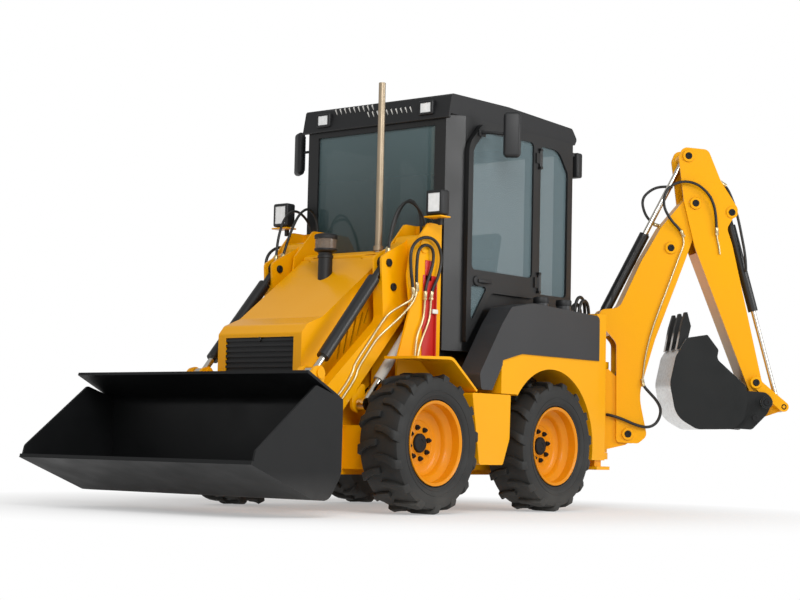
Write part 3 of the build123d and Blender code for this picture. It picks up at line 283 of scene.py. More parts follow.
# Lamp lens: fluted glass, its white a painted reflection of the bright reflector behind it.
lamp_lens = finish_of("lamp_lens_painted_reflection", {"IOR": 1.52, "Coat Weight": 0.8, "Coat Roughness": 0.02},
                      ("#ffffff", "#e4e6e4"), 6.0, 0.8, (0.08, 0.16), 25.0)
# Mirror: silver behind flat glass.
mirror_glass = finish_of("mirror_silvered", {"Metallic": 1.0}, ("#cfd4d6", "#c6cbce"), 4.0, 0.005,
                         (0.03, 0.05), 80.0)

FINISHES = {
    yellow_enamel: "bonnet loader_towers arm_left arm_right arm_cross_tube bucket_hitch rear_frame "
                   "stabiliser_left stabiliser_right kingpost boom dipper tipping_lever tipping_link "
                   "scuttle rear_wings chassis front_fenders side_pods",
    black_enamel: "cab_shell door_frame crowd_ram_barrels boom_ram_barrel dipper_ram_barrel "
                  "digger_ram_barrel",
    bucket_enamel: "loader_bucket",
    digger_enamel: "digger_bucket",
    grey_primer: "lift_ram_barrels",
    black_plastic: "cab_roof grille pre_cleaner work_lamps mirror_left mirror_right",
    cover_plastic: "tank_covers",
    tyre_rubber: "tyre_front_left tyre_front_right tyre_rear_left tyre_rear_right",
    rim_enamel_shaded: "rim_front_left rim_front_right rim_rear_left rim_rear_right",
    chrome_rod: "crowd_ram_rods lift_ram_rods boom_ram_rod dipper_ram_rod digger_ram_rod",
    exhaust_steel: "exhaust_stack",
    cast_iron: "engine_block",
    seat_cloth: "seat",
    cab_tint: "cab_glass door_glass",
}
for material, nodes in FINISHES.items():
    for name in nodes.split():
        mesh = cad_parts[name].data
        mesh.materials.clear()
        mesh.materials.append(material)


# Making pieces
def only(*pieces):
    """Selects these pieces alone; the last is the active one."""
    bpy.ops.object.select_all(action="DESELECT")
    for piece in pieces:
        piece.select_set(True)
    bpy.context.view_layer.objects.active = pieces[-1]


def settle(piece):
    """Puts the piece's place into its mesh."""
    only(piece)
    bpy.ops.object.transform_apply(location=True, rotation=True, scale=True)
    return piece


def modify(piece, kind, **settings):
    """Adds one modifier and applies it."""
    only(piece)
    modifier = piece.modifiers.new(kind.lower(), kind)
    for name, value in settings.items():
        setattr(modifier, name, value)
    bpy.ops.object.modifier_apply(modifier=modifier.name)
    return piece


def closed(piece, weld=None, smooth=None):
    """Welds near points, turns all faces outward, and shades smooth below an angle in degrees."""
    only(piece)
    bpy.ops.object.mode_set(mode="EDIT")
    bpy.ops.mesh.select_all(action="SELECT")
    if weld:
        bpy.ops.mesh.remove_doubles(threshold=weld)
    bpy.ops.mesh.normals_make_consistent(inside=False)
    bpy.ops.object.mode_set(mode="OBJECT")
    if smooth:
        bpy.ops.object.shade_smooth_by_angle(angle=math.radians(smooth))
    return piece


def turned(name, rows, steps=48, ring=False):
    """A solid turned about z; rows are distance along and radius. A ring closes on its first row."""
    start, radius = rows[0]
    bpy.ops.mesh.primitive_circle_add(vertices=steps, radius=radius * MM, location=(0, 0, start * MM),
                                      fill_type="NOTHING" if ring else "NGON")
    piece = bpy.context.object
    piece.name = name
    settle(piece)
    bpy.ops.object.mode_set(mode="EDIT")
    bpy.ops.mesh.select_all(action="SELECT")
    for (low, near), (high, far) in zip(rows, rows[1:] + (rows[:1] if ring else [])):
        bpy.ops.mesh.extrude_region_move(TRANSFORM_OT_translate={"value": (0, 0, (high - low) * MM)})
        bpy.ops.transform.resize(value=(far / near, far / near, 1), center_override=(0, 0, high * MM))
    bpy.ops.object.mode_set(mode="OBJECT")
    return closed(piece, WELD, 32)


def placed(piece, place, way=(0, 0, 1)):
    """Turns a piece made about z so that z points along way, and puts it at its place."""
    turn = Vector(way).to_track_quat("Z", "Y").to_matrix().to_4x4()
    piece.matrix_world = Matrix.Translation(place) @ turn
    return settle(piece)


def twin_of(piece, name):
    """A copy with its own mesh."""
    twin = piece.copy()
    twin.data = piece.data.copy()
    twin.name = name
    bpy.context.collection.objects.link(twin)
    return twin


def joined(name, pieces):
    """Makes one piece of several."""
    only(*pieces)
    if len(pieces) > 1:
        bpy.ops.object.join()
    whole = bpy.context.object
    whole.name = name
    return whole


def dressed(piece, material, body):
    """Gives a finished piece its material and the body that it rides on."""
    piece.data.materials.clear()
    piece.data.materials.append(material)
    if body:
        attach(piece, body)
    return piece


def dropped(piece):
    bpy.data.objects.remove(piece, do_unlink=True)


def pins(name, model, body, material, spots):
    """Copies of one head on the ends of several pins; spots are place and way."""
    heads = [placed(twin_of(model, name), place, way) for place, way in spots]
    return dressed(joined(name, heads), material, body)


def pick_edges(piece, wanted):
    """In edit mode, selects only the edges with both ends where wanted says."""
    bpy.ops.mesh.select_mode(type="EDGE")
    bpy.ops.mesh.select_all(action="DESELECT")
    mesh = bmesh.from_edit_mesh(piece.data)
    for edge in mesh.edges:
        edge.select = all(wanted(vertex.co) for vertex in edge.verts)
    mesh.select_flush_mode()
    bmesh.update_edit_mesh(piece.data)


def rounded_box(name, size, place, bevel, segments=3, turn=None):
    """A box with rounded edges, turned about its own middle; size and place in millimetres."""
    start = (0, 0, 0) if turn else on(*place)
    bpy.ops.mesh.primitive_cube_add(size=1, location=start, scale=[s * MM for s in size])
    piece = settle(bpy.context.object)
    piece.name = name
    bpy.ops.object.mode_set(mode="EDIT")
    bpy.ops.mesh.select_all(action="SELECT")
    bpy.ops.mesh.bevel(offset=bevel * MM, segments=segments, affect="EDGES")
    bpy.ops.object.mode_set(mode="OBJECT")
    bpy.ops.object.shade_smooth_by_angle(angle=math.radians(40))
    if turn:
        piece.location, piece.rotation_euler = on(*place), turn
        settle(piece)
    return piece


def hose(name, route, radius, material, body=None, blend=None):
    """A round hose or pipe on one smooth line through its route's points."""
    curve = bpy.data.curves.new(name, "CURVE")
    curve.dimensions = "3D"
    line = curve.splines.new("NURBS")
    line.points.add(len(route) - 1)
    for knot, place in zip(line.points, route):
        knot.co = (*place, 1.0)
    line.order_u, line.use_endpoint_u = 3, True
    curve.bevel_depth, curve.bevel_resolution, curve.resolution_u = radius * MM, 4, 10
    curve.use_fill_caps = True
    piece = bpy.data.objects.new(name, curve)
    bpy.context.collection.objects.link(piece)
    only(piece)
    bpy.ops.object.convert(target="MESH")
    piece = closed(bpy.context.object, HOSE_WELD, 50)
    dressed(piece, material, body)
    if blend:
        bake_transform(piece)
    return piece


# Wheels: a round carcass with moulded lugs on a dished rim, made once about z and set four times.
LUGS, LUG_TOP = 15, 363.2
# Each row takes a lug's edge outward, round the tyre and along its width, and makes it wider.
LUG_STEPS = ((0, 10, 34, 1.12), (-1, 16, 32, 1.16), (-9, 8, 20, 1.06), (-24, 5, 7, 1.02),
             (-22, 3, 1, 0.96))
WHEEL_NUTS, NUT_CIRCLE = 8, 82


def make_lug():
    """One lug on the upper half of the tread: a plane's edge drawn round the shoulder, thickened."""
    bpy.ops.mesh.primitive_plane_add(size=1, location=(0, 0, 0))
    lug = bpy.context.object
    bpy.ops.object.mode_set(mode="EDIT")
    mesh = bmesh.from_edit_mesh(lug.data)
    for vertex in mesh.verts:
        place = Vector((LUG_TOP, -17 if vertex.co.x < 0 else 17, -7 if vertex.co.y < 0 else 34))
        vertex.co = (place + Vector((0, 4 if place.z > 0 else 0, 0))) * MM
    pick_edges(lug, lambda place: place.z > 0.03)
    middle = Vector((LUG_TOP, 4, 34))
    for out, over, across, wider in LUG_STEPS:
        step = Vector((out, over, across))
        middle += step
        bpy.ops.mesh.extrude_region_move(TRANSFORM_OT_translate={"value": step * MM})
        bpy.ops.transform.resize(value=(1, wider, 1), center_override=middle * MM)
    bpy.ops.object.mode_set(mode="OBJECT")
    closed(lug)
    modify(lug, "SOLIDIFY", thickness=0.026, offset=-1 if lug.data.polygons[0].normal.x > 0 else 1)
    modify(lug, "BEVEL", width=0.0035, segments=2, limit_method="ANGLE", angle_limit=math.radians(30))
    only(lug)
    bpy.ops.object.shade_smooth_by_angle(angle=math.radians(35))
    return lug


def make_tyre():
    carcass = turned("tyre", [
        (-103, 224), (-112, 228), (-126, 252), (-131, 286), (-128, 316), (-119, 334), (-96, 341),
        (-40, 344), (40, 344), (96, 341), (119, 334), (128, 316), (131, 286), (126, 252), (112, 228),
        (103, 224), (100, 213), (60, 213), (-60, 213), (-100, 213)], 90, ring=True)
    rib = turned("tyre_rib", [(118, 236), (121.5, 240), (124.5, 246), (120, 248), (114, 240)], 90,
                 ring=True)
    guard = turned("tyre_guard", [(124, 262), (130.5, 266), (131.4, 272), (126, 276)], 90, ring=True)
    lugs = []
    for side, _ in SIDES:
        lug = make_lug()
        if side < 0:
            lug.scale = (1, 1, -1)
            closed(settle(lug))
        for i in range(LUGS):
            lug_copy = twin_of(lug, "tyre_lug")
            lug_copy.rotation_euler = (0, 0, math.radians(360 / LUGS * (i if side > 0 else i + 0.5)))
            lugs.append(settle(lug_copy))
        dropped(lug)
    return joined("tyre", lugs + [rib, guard, carcass])


def make_rim():
    return turned("rim", [
        (115, 219), (110, 221), (105, 212), (58, 210), (42, 186), (-42, 186), (-58, 210), (-105, 212),
        (-110, 221), (-115, 219), (-114, 214), (-108, 204), (-61, 203), (-44, 179), (-24, 178),
        (-22, 160), (-22, 62), (-55, 58), (-55, 29), (-17, 28.4), (-1, 28.4), (0, 56), (-4, 60),
        (-6, 64), (-6, 114), (-2, 119), (-2, 142), (4, 158), (14, 168), (36, 172), (44, 178),
        (62, 202), (107, 204), (114, 213)], 96, ring=True)


def make_nuts():
    """The hub's cap in a ring of nuts."""
    pieces = [turned("hub_cap", [(-2, 50), (9, 50), (14, 46), (16, 40), (16, 20), (13, 17)])]
    for i in range(WHEEL_NUTS):
        turn = math.radians(360 / WHEEL_NUTS * i + 10)
        nut = turned("wheel_nut", [(-7, 15), (-5, 15), (-5, 13), (7, 13), (9, 11), (9, 7), (16, 6.5),
                                   (17, 5)], 6)
        nut.location = Vector((math.cos(turn), math.sin(turn), 0)) * NUT_CIRCLE * MM
        pieces.append(settle(nut))
    return joined("wheel_nuts", pieces)


tyre, rim, nuts = make_tyre(), make_rim(), make_nuts()
for axle_x, end in ((0, "front"), (REAR_AXLE_X, "rear")):
    for side, label in SIDES:
        corner = end + "_" + label
        hub = on(axle_x, side * WHEEL_Y, TYRE_Z)
        for model, kind, material, slot in ((tyre, "tyre", tyre_rubber, "tyre_rubber"),
                                            (rim, "rim", rim_enamel_shaded, "rim_paint"),
                                            (nuts, "wheel_nuts", cast_iron, "black_paint")):
            piece = placed(twin_of(model, kind + "_round_" + corner), hub, (0, side, 0))
            dressed(piece, material, "wheel_" + corner)
            if model is not nuts:
                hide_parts(kind + "_" + corner)
for model in (tyre, rim, nuts):
    dropped(model)

# Pin heads: a chamfered cap with a sunk middle for its grease nipple, on a painted boss.
head = turned("pin_head", [(-1, 21), (9, 21), (12, 18), (12, 10), (9, 8)], 32)
boss = turned("pin_boss", [(-1, 37), (4, 37), (7, 34), (7, 22), (5, 20)], 40)
small_head = turned("small_head", [(-1, 20), (5, 20), (8, 17), (8, 9), (6, 7)], 28)
# The digging arm's pins: out, up, the pin's half length, and its head.
ARM_PINS = {
    "boom": [(414, 1591, 79, head)],
    "dipper": [(515, 2160, 97, head), (562, 1869, 97, head), (791, 1821, 92, head),
               (944, 781, 112, head)],
    "tipping_lever": [(1122, 638, 100, small_head)],
    "kingpost": [(160, 451, 79, head)],
    "digger_bucket": [(989, 660, 184, head), (918, 566, 180, small_head)]}
for body, rows in ARM_PINS.items():
    spots = [(model, digging(out, up, side * half), ACROSS * side)
             for out, up, half, model in rows for side in (-1, 1)]
    heads = [placed(twin_of(model, "head"), place, way) for model, place, way in spots]
    dressed(joined("pin_heads_" + body, heads), cast_iron, body)
    rings = [placed(twin_of(boss, "ring"), place, way) for model, place, way in spots if model is head]
    if rings:
        on_bucket = body == "digger_bucket"
        dressed(joined("pin_bosses_" + body, rings), digger_enamel if on_bucket else yellow_enamel,
                body)
for side, label in SIDES:
    out, back = (0, side, 0), (0, -side, 0)
    pins("pin_heads_arm_" + label, head, "loader_arms", cast_iron,
         [(on(16, side * 424, 1314), out), (on(16, side * 360, 1314), back),
          (on(-25, side * 424, 1188), out)])
    pins("pin_heads_hitch_" + label, small_head, "loader_bucket", cast_iron,
         [(on(690, side * 446, 250), out), (on(690, side * 338, 250), back)])
for model in (head, small_head, boss):
    dropped(model)


# Hoses and pipes. A ferrule is the crimped sleeve and hexagon at a hose's end, seated on its last part.
FERRULE_SEAT = 30
ferrule = joined("ferrule", [turned("sleeve", [(-4, 9), (0, 11.5), (26, 11.5), (30, 9)], 24),
                             turned("hexagon", [(30, 11), (32, 12.5), (42, 12.5), (44, 11)], 6)])


def fitted_hose(name, route, radius, body=None, blend=None, ends=(0, -1)):
    """A hose with a ferrule at the ends named, each riding with the body at that end."""
    hose(name, route, radius, hose_rubber, body, blend)
    bodies = blend[:2] if blend else (body, body)
    for end in ends:
        here, there = (route[0], route[1]) if end == 0 else (route[-1], route[-2])
        piece = twin_of(ferrule, f"{name}_end_{'a' if end == 0 else 'b'}")
        placed(piece, here + (there - here).normalized() * FERRULE_SEAT * MM, here - there)
        dressed(piece, zinc_plate, bodies[end])


# Two hoses loop from each arm's pipes over the tower's outer face to the tower's pipes.
ARM_TO_TOWER = {
    "outer": [(-78, 520, 1154), (-70, 521, 1206), (-48, 522, 1290), (-46, 523, 1400),
              (-140, 524, 1466), (-262, 524, 1462), (-322, 523, 1376), (-296, 520, 1264),
              (-244, 517, 1190), (-238, 516, 1146)],
    "inner": [(-108, 520, 1182), (-102, 521, 1236), (-102, 522, 1320), (-110, 523, 1396),
              (-180, 523, 1430), (-244, 522, 1406), (-246, 521, 1330), (-206, 518, 1240),
              (-188, 516, 1190), (-186, 515, 1142)]}
# Arches rise from the arms' tops in front of the cab and drop between the tower's plates.
ARCHES = {
    "near": [(0, 404, 1362), (-6, 406, 1400), (-20, 408, 1500), (-66, 410, 1612), (-150, 412, 1672),
             (-246, 412, 1640), (-306, 412, 1570), (-310, 412, 1480)],
    "far": [(-22, 378, 1372), (-36, 376, 1410), (-82, 374, 1530), (-150, 372, 1646),
            (-232, 372, 1690), (-300, 374, 1640), (-318, 376, 1560), (-316, 376, 1490)]}
for side, label in SIDES:
    for key, rows in ARM_TO_TOWER.items():
        fitted_hose(f"hose_loop_{key}_{label}", on_route(rows, side), 8.5,
                    blend=("loader_arms", "machine", on(-90, side * 520, 1170), on(-120, side * 520, 1330)))
    for key, rows in ARCHES.items():
        fitted_hose(f"hose_arch_{key}_{label}", on_route(rows, side), 7.5, ends=(0,),
                    blend=("loader_arms", "machine", on(-30, side * 400, 1450), on(-250, side * 400, 1600)))

# Digging arm: a low hose from the boom to its post, loops over the top pin, and a hose down the dipper.
# Routes here are told as out, up and across.
fitted_hose("hose_boom_foot", arm_route([
    (246, 772, -82), (250, 745, -88), (284, 706, -98), (336, 653, -98), (362, 596, -98),
    (338, 522, -98), (281, 490, -98), (205, 505, -98), (130, 538, -92), (60, 560, -84), (30, 566, -66)]),
    9, blend=("boom", "kingpost", digging(330, 600, 0), digging(120, 540, 0)), ends=(0,))
fitted_hose("hose_dipper_loop_near", arm_route([
    (486, 1672, -86), (470, 1700, -96), (400, 1760, -112), (350, 1850, -118), (372, 1950, -122),
    (459, 2000, -124), (560, 1990, -124), (640, 1925, -122), (676, 1850, -116), (690, 1760, -108),
    (694, 1690, -104)]),
    8.5, blend=("boom", "dipper", digging(430, 1760, 0), digging(600, 1960, 0)))
fitted_hose("hose_dipper_loop_far", arm_route([
    (372, 1742, 60), (340, 1750, 62), (284, 1808, 64), (262, 1907, 66), (330, 1972, 66),
    (400, 1990, 60), (456, 1985, 50)]),
    8.5, blend=("boom", "dipper", digging(300, 1800, 0), digging(440, 1980, 0)), ends=(0,))
fitted_hose("hose_digger_ram", arm_route([
    (742, 2008, -40), (770, 1990, -44), (812, 1900, -46), (846, 1790, -46), (872, 1670, -44),
    (888, 1583, -48), (896, 1500, -50), (898, 1462, -44)]),
    8.5, blend=("dipper", "digger_ram_barrel", digging(830, 1850, 0), digging(880, 1500, 0)), ends=(0,))
hose("pipe_dipper_side", arm_route([
    (694, 1692, -103), (696, 1660, -98), (712, 1600, -98), (716, 1560, -98)]),
    6, zinc_plate, "dipper")
# A thin pipe feeds the far end of the dipper's ram.
hose("pipe_dipper_ram", arm_route([
    (284, 1672, -40), (252, 1664, -42), (236, 1634, -42), (180, 1530, -42), (120, 1414, -42),
    (76, 1330, -42), (58, 1290, -42), (66, 1268, -40)]),
    5, black_enamel, "dipper_ram_barrel")

# Hoses that leave the tank's rear, over the frame, to the slewing post's valves.
for i, (y, top) in enumerate(((560, 1262), (588, 1240), (532, 1222))):
    fitted_hose(f"hose_frame_{i}", on_route([
        (-1560, y, 1040), (-1566, y, 1110), (-1584, y, top - 24), (-1640, y, top),
        (-1700, y - 14, top - 40), (-1724, y - 26, 1100), (-1728, y - 40, 1010), (-1730, y - 52, 916)]),
        10, body="machine", ends=())
dropped(ferrule)

# Pre-cleaner: black foot and cap, and between them a clear bowl round a core.
low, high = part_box("pre_cleaner")
foot_z, top_z = low.z / MM, high.z / MM
foot = turned("pre_cleaner_foot", [
    (foot_z, 39), (foot_z + 122, 39), (foot_z + 124, 43), (foot_z + 138, 43), (foot_z + 140, 38),
    (foot_z + 152, 40), (foot_z + 160, 58), (foot_z + 166, 62), (foot_z + 174, 62), (foot_z + 176, 50)], 56)
cap = turned("pre_cleaner_cap", [
    (top_z - 30, 50), (top_z - 29, 62), (top_z - 24, 63), (top_z - 12, 63), (top_z - 6, 58),
    (top_z - 1, 40), (top_z, 12)], 56)
bowl = turned("pre_cleaner_bowl", [
    (foot_z + 175, 58), (top_z - 29, 58), (top_z - 29, 55), (foot_z + 175, 55)], 56, ring=True)
core = turned("pre_cleaner_core", [
    (foot_z + 174, 30), (foot_z + 184, 24), (top_z - 40, 24), (top_z - 28, 34)], 32)
for piece in (foot, cap, bowl, core):
    placed(piece, on(40, 0, 0))
shell = dressed(joined("pre_cleaner_shell", [cap, foot]), black_plastic, "bonnet")
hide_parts("pre_cleaner")
dressed(bowl, bowl_clear, "bonnet")
dressed(core, exhaust_steel, "bonnet")

# Exhaust: a clamp at its foot.
collar = placed(turned("exhaust_collar", [(1404, 20), (1406, 27), (1430, 27), (1432, 20)], 40),
                on(-150, 215, 0))
dressed(collar, exhaust_steel, "machine")


# Lamps: a fluted lens in each recess.
FLUTE, LENS_BORDER, LENS_SINK = 1.6, 15, 5


def lens(name, x, y, z, facing):
    """A pane with upright flutes, facing forward or back; y and z are its edges."""
    bpy.ops.mesh.primitive_grid_add(x_subdivisions=18, y_subdivisions=12, size=1)
    piece = bpy.context.object
    piece.name = name
    piece.rotation_euler = (math.radians(90), 0, math.radians(90 * facing))
    piece.scale = ((y[1] - y[0]) * MM, (z[1] - z[0]) * MM, 1)
    piece.location = on(x, sum(y) / 2, sum(z) / 2)
    settle(piece)
    for i, vertex in enumerate(piece.data.vertices):
        if i % 2:
            vertex.co.x += FLUTE * MM * facing
    modify(piece, "SOLIDIFY", thickness=0.003, offset=-1)
    only(piece)
    bpy.ops.object.shade_smooth_by_angle(angle=math.radians(60))
    dressed(piece, lamp_lens, "machine")


def lamp_body(name, x, y, z, facing):
    """A rounded housing whose lit face is sunk inside a border; x, y and z are its edges."""
    size = (x[1] - x[0], y[1] - y[0], z[1] - z[0])
    body = rounded_box(name, size, (sum(x) / 2, sum(y) / 2, sum(z) / 2), 12)
    bpy.ops.object.mode_set(mode="EDIT")
    bpy.ops.mesh.select_mode(type="FACE")
    mesh = bmesh.from_edit_mesh(body.data)
    for face in mesh.faces:
        face.select = face.normal.x * facing > 0.99
    mesh.select_flush_mode()
    bmesh.update_edit_mesh(body.data)
    bpy.ops.mesh.extrude_region_move(TRANSFORM_OT_translate={"value": (0, 0, 0)})
    middle = on((x[1] if facing > 0 else x[0]), sum(y) / 2, sum(z) / 2)
    bpy.ops.transform.resize(value=(1, 0.9, 0.92), center_override=middle)
    bpy.ops.mesh.extrude_region_move(TRANSFORM_OT_translate={"value": (-9 * MM * facing, 0, 0)})
    bpy.ops.object.mode_set(mode="OBJECT")
    return closed(body, WELD, 40)


LAMPS = {"tower": ((-262, -190), (501, 613), (1587, 1721), 1),
         "roof": ((-372, -331), (322, 427), (2166, 2249), 1),
         "rear": ((-1668, -1612), (440, 540), (1975, 2125), -1)}
housings = []
for side, label in SIDES:
    for key, (x, y, z, facing) in LAMPS.items():
        y = y if side > 0 else (-y[1], -y[0])
        housings.append(lamp_body("lamp_housing", x, y, z, facing))
        lens(f"lamp_lens_{key}_{label}", (x[1] - LENS_SINK if facing > 0 else x[0] + LENS_SINK),
             (y[0] + LENS_BORDER, y[1] - LENS_BORDER), (z[0] + LENS_BORDER, z[1] - LENS_BORDER), facing)
    housings.append(rounded_box("lamp_stem", (20, 22, 70), (-252, side * 556, 1572), 3))
    housings.append(rounded_box("rear_lamp_arm", (30, 60, 26), (-1604, side * 490, 2110), 5))
    bracket = rounded_box("lamp_bracket_" + label, (84, 118, 9), (-226, side * 556, 1577), 3)
    dressed(bracket, yellow_enamel, "machine")
whole = dressed(joined("lamp_housings", housings), black_plastic, "machine")
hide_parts("work_lamps")


# Mirrors: a rounded shell on a bent arm, turned outward, with its glass to the rear.
MIRROR_Y, MIRROR_Z = 738, 2070


def on_side(piece, side):
    """Mirrors a finished left piece to the right where side is -1."""
    if side < 0:
        piece.scale = (1, -1, 1)
        piece.location = (0, 2 * SHIFT.y * MM, 0)
        closed(settle(piece))
    return piece


def mirror(label, side, foot_y, body, x):
    """One mirror at x, on an arm whose foot stands on the wall at foot_y."""
    middle = on(x, MIRROR_Y, MIRROR_Z)
    shell = rounded_box("mirror_head_" + label, (44, 114, 256), (x, MIRROR_Y, MIRROR_Z), 20, 5)
    pane = rounded_box("mirror_pane_" + label, (3, 88, 206), (x - 22.5, MIRROR_Y, MIRROR_Z), 1.4)
    for vertex in shell.data.vertices:
        away = abs(vertex.co.z - middle.z) / (128 * MM)
        vertex.co.y = middle.y + (vertex.co.y - middle.y) * (1 - 0.3 * away ** 4)
    turn = Matrix.Rotation(math.radians(32), 4, "Z")
    for piece in (shell, pane):
        piece.matrix_world = Matrix.Translation(middle) @ turn @ Matrix.Translation(-middle)
        settle(piece)
    arm = hose("mirror_arm_" + label, on_route([
        (-590, foot_y + 5, 2085), (-600, foot_y + 60, 2085), (x + 20, 690, 2076), (x + 5, 730, 2070)]),
        8, black_enamel)
    foot = rounded_box("mirror_foot_" + label, (58, 8, 38), (-590, foot_y + 4.2, 2085), 3)
    whole = joined("mirror_shell_" + label, [on_side(piece, side) for piece in (shell, arm, foot)])
    dressed(whole, black_plastic, body)
    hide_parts("mirror_" + label)
    dressed(on_side(pane, side), mirror_glass, body)


mirror("left", 1, 574.3, "door", -650)
mirror("right", -1, 545.3, "machine", -545)

# Safety struts: a red channel hung on each tower's outer face, held by a white clip.
for side, label in SIDES:
    strut = joined("safety_strut_" + label, [
        rounded_box("strut_web", (102, 4, 436), (-232, 503.6, 1046), 1.2),
        rounded_box("strut_edge", (6, 18, 436), (-284, 510.6, 1046), 2),
        rounded_box("strut_top", (56, 4, 110), (-226, 503.6, 1290), 1.8)])
    dressed(on_side(strut, side), red_enamel, "machine")
    clip = rounded_box("strut_clip_" + label, (44, 12, 24), (-274, 517, 1072), 4)
    dressed(on_side(clip, side), white_nylon_and_painted_light, "machine")

# Steel pipes along each arm's outer face, and down each tower.
ARM_PIPES = {
    "outer": [(418, 430, 590), (352, 430, 649), (290, 430, 728), (284, 430, 762), (160, 430, 896),
              (64, 430, 1001), (22, 446, 1050), (-28, 502, 1096), (-58, 521, 1118), (-74, 520, 1138),
              (-78, 520, 1156)],
    "inner": [(398, 430, 562), (331, 430, 626), (264, 430, 706), (257, 430, 742), (139, 430, 874),
              (104, 438, 914), (50, 470, 972), (-6, 506, 1034), (-70, 521, 1102), (-100, 520, 1146),
              (-107, 520, 1166), (-108, 520, 1184)]}
TOWER_PIPES = {
    "outer": [(-238, 516, 1148), (-236, 514, 1060), (-222, 514, 1010), (-180, 514, 940),
              (-150, 514, 880), (-134, 514, 820)],
    "inner": [(-186, 515, 1144), (-184, 514, 1060), (-170, 514, 1010), (-134, 514, 950),
              (-118, 514, 900), (-110, 514, 820)]}
for side, label in SIDES:
    for table, kind, body in ((ARM_PIPES, "arm", "loader_arms"), (TOWER_PIPES, "tower", "machine")):
        for key, rows in table.items():
            hose(f"pipe_{kind}_{key}_{label}", on_route(rows, side), 6, zinc_plate, body)

# Boom: a steel pipe along its belly from the low hose to the loops at its top.
hose("pipe_boom", [digging(out, up, -84) for out, up in (
    (246, 770), (252, 850), (262, 930), (305, 1104), (390, 1330), (474, 1560), (494, 1611),
    (490, 1650), (486, 1674))], 6, zinc_plate, "boom")


# Filler caps: ribbed for the hand, on the side covers. Every 15 degrees of the rim holds one groove.
filler = turned("filler_cap", [(1150, 34), (1172, 34), (1173, 44), (1177, 46), (1202, 46), (1208, 43),
                               (1210, 30)], 48)
for vertex in filler.data.vertices:
    spoke = math.degrees(math.atan2(vertex.co.y, vertex.co.x)) % 15
    if vertex.co.z > 1.1725 and math.hypot(vertex.co.x, vertex.co.y) > 0.04 and 5 < spoke < 10:
        vertex.co.x, vertex.co.y = vertex.co.x * 0.93, vertex.co.y * 0.93
for side, label in SIDES:
    pins("filler_caps_" + label, filler, "machine", black_plastic,
         [(on(x, side * 655, 0), (0, 0, 1)) for x in (-1080, -1310)])
dropped(filler)

# Grille latch: a round knob at the top of the frame.
latch = placed(turned("grille_latch", [(-6, 12), (3, 12), (5, 10), (5, 5), (3, 4)], 28),
               on(545, 4, 884), (1, 0, 0))
dressed(latch, black_enamel, "bonnet")

# Door handle: a boss with a lever, on the door's outer face.
handle = joined("door_handle", [placed(turned("handle_boss", [(0, 28), (6, 28), (10, 24), (11, 12)], 40),
                                       on(-565, 574, 1262), (0, 1, 0)),
                                rounded_box("handle_lever", (120, 10, 20), (-625, 589, 1262), 4)])
dressed(handle, black_plastic, "door")


def cut_away(piece, cutter):
    modify(piece, "BOOLEAN", operation="DIFFERENCE", object=cutter, solver="EXACT")
    dropped(cutter)


# Bonnet: five slanted louvre slots cut through each side, with a black sheet behind each as painted shade
# of the bonnet's inside. The rows are each slot's low and high end, as x and z.
LOUVRES = (((262, 790), (226, 968)), ((212, 822), (174, 998)), ((160, 862), (118, 1026)),
           ((106, 922), (64, 1052)), ((52, 990), (16, 1076)))
bonnet = twin_of(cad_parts["bonnet"], "bonnet_slotted")
bonnet.parent = None
shade_sheets = []
for (x_low, z_low), (x_top, z_top) in LOUVRES:
    for side, _ in SIDES:
        length = math.hypot(x_top - x_low, z_top - z_low)
        turn = (0, math.atan2(x_top - x_low, z_top - z_low), 0)
        x, z = (x_low + x_top) / 2, (z_low + z_top) / 2
        cut_away(bonnet, rounded_box("slot", (13, 40, length), (x, side * 292, z), 5, 2, turn))
        # A black sheet behind the slot: painted shade.
        shade_sheets.append(rounded_box("screen", (34, 3, length + 12), (x, side * 281, z), 1, 1, turn))
dressed(bonnet, yellow_enamel, "bonnet")
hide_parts("bonnet")
dressed(joined("louvre_shade_sheets", shade_sheets), black_enamel, "bonnet")

# Visor: two rows of slanted slots along the roof's leaning front. Behind each is a pale pane: painted
# light, standing for the light that falls through the slot.
SLANT, PITCH_Y = (math.radians(28), 0, 0), 34
roof = twin_of(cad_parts["cab_roof"], "cab_roof_slotted")
roof.parent = None
light_panes = []
for start, count, z in ((-52, 10, 2212), (-300, 9, 2252)):
    face_x = -338 - 28 * (z - 2140) / 137
    for i in range(count):
        y = start + PITCH_Y * i
        cut_away(roof, rounded_box("slot", (30, 14, 44), (face_x, y, z), 5, 2, SLANT))
        # A pale pane behind the slot: painted light.
        light_panes.append(rounded_box("slot", (4, 11, 40), (face_x - 8, y, z), 1.6, 2, SLANT))
dressed(roof, black_plastic, "machine")
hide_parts("cab_roof")
dressed(joined("visor_painted_light_panes", light_panes), white_nylon_and_painted_light, "machine")


# Seat: a moulded base with a cushion and a back of padded cloth.
CLOTH_FRAMES, PUFF, CHANNEL = 20, 9, 7


def puffed(piece):
    """Remeshes a pad and blows it up with cloth simulation, each point by no more than PUFF."""
    modify(piece, "REMESH", mode="VOXEL", voxel_size=6 * MM)
    start = [vertex.co.copy() for vertex in piece.data.vertices]
    cloth = piece.modifiers.new("cloth", "CLOTH")
    cloth.settings.use_pressure = True
    cloth.settings.uniform_pressure_force = 4.0
    cloth.settings.effector_weights.gravity = 0.0
    for step in range(1, CLOTH_FRAMES + 1):
        bpy.context.scene.frame_set(step)
    only(piece)
    bpy.ops.object.modifier_apply(modifier="cloth")
    for vertex, home in zip(piece.data.vertices, start):
        moved = vertex.co - home
        if moved.length > PUFF * MM:
            vertex.co = home + moved.normalized() * PUFF * MM
    bpy.context.scene.frame_set(1)
    return piece


def channels(piece, axis, lines, up):
    """Sews channels into a pad's face: valleys across it at these lines, on the side that faces up."""
    for vertex in piece.data.vertices:
        if vertex.normal.dot(up) > 0.5:
            near = min(abs(vertex.co[axis] - line) for line in lines)
            vertex.co -= up * CHANNEL * MM * math.exp(-(near / (CHANNEL * MM)) ** 2)


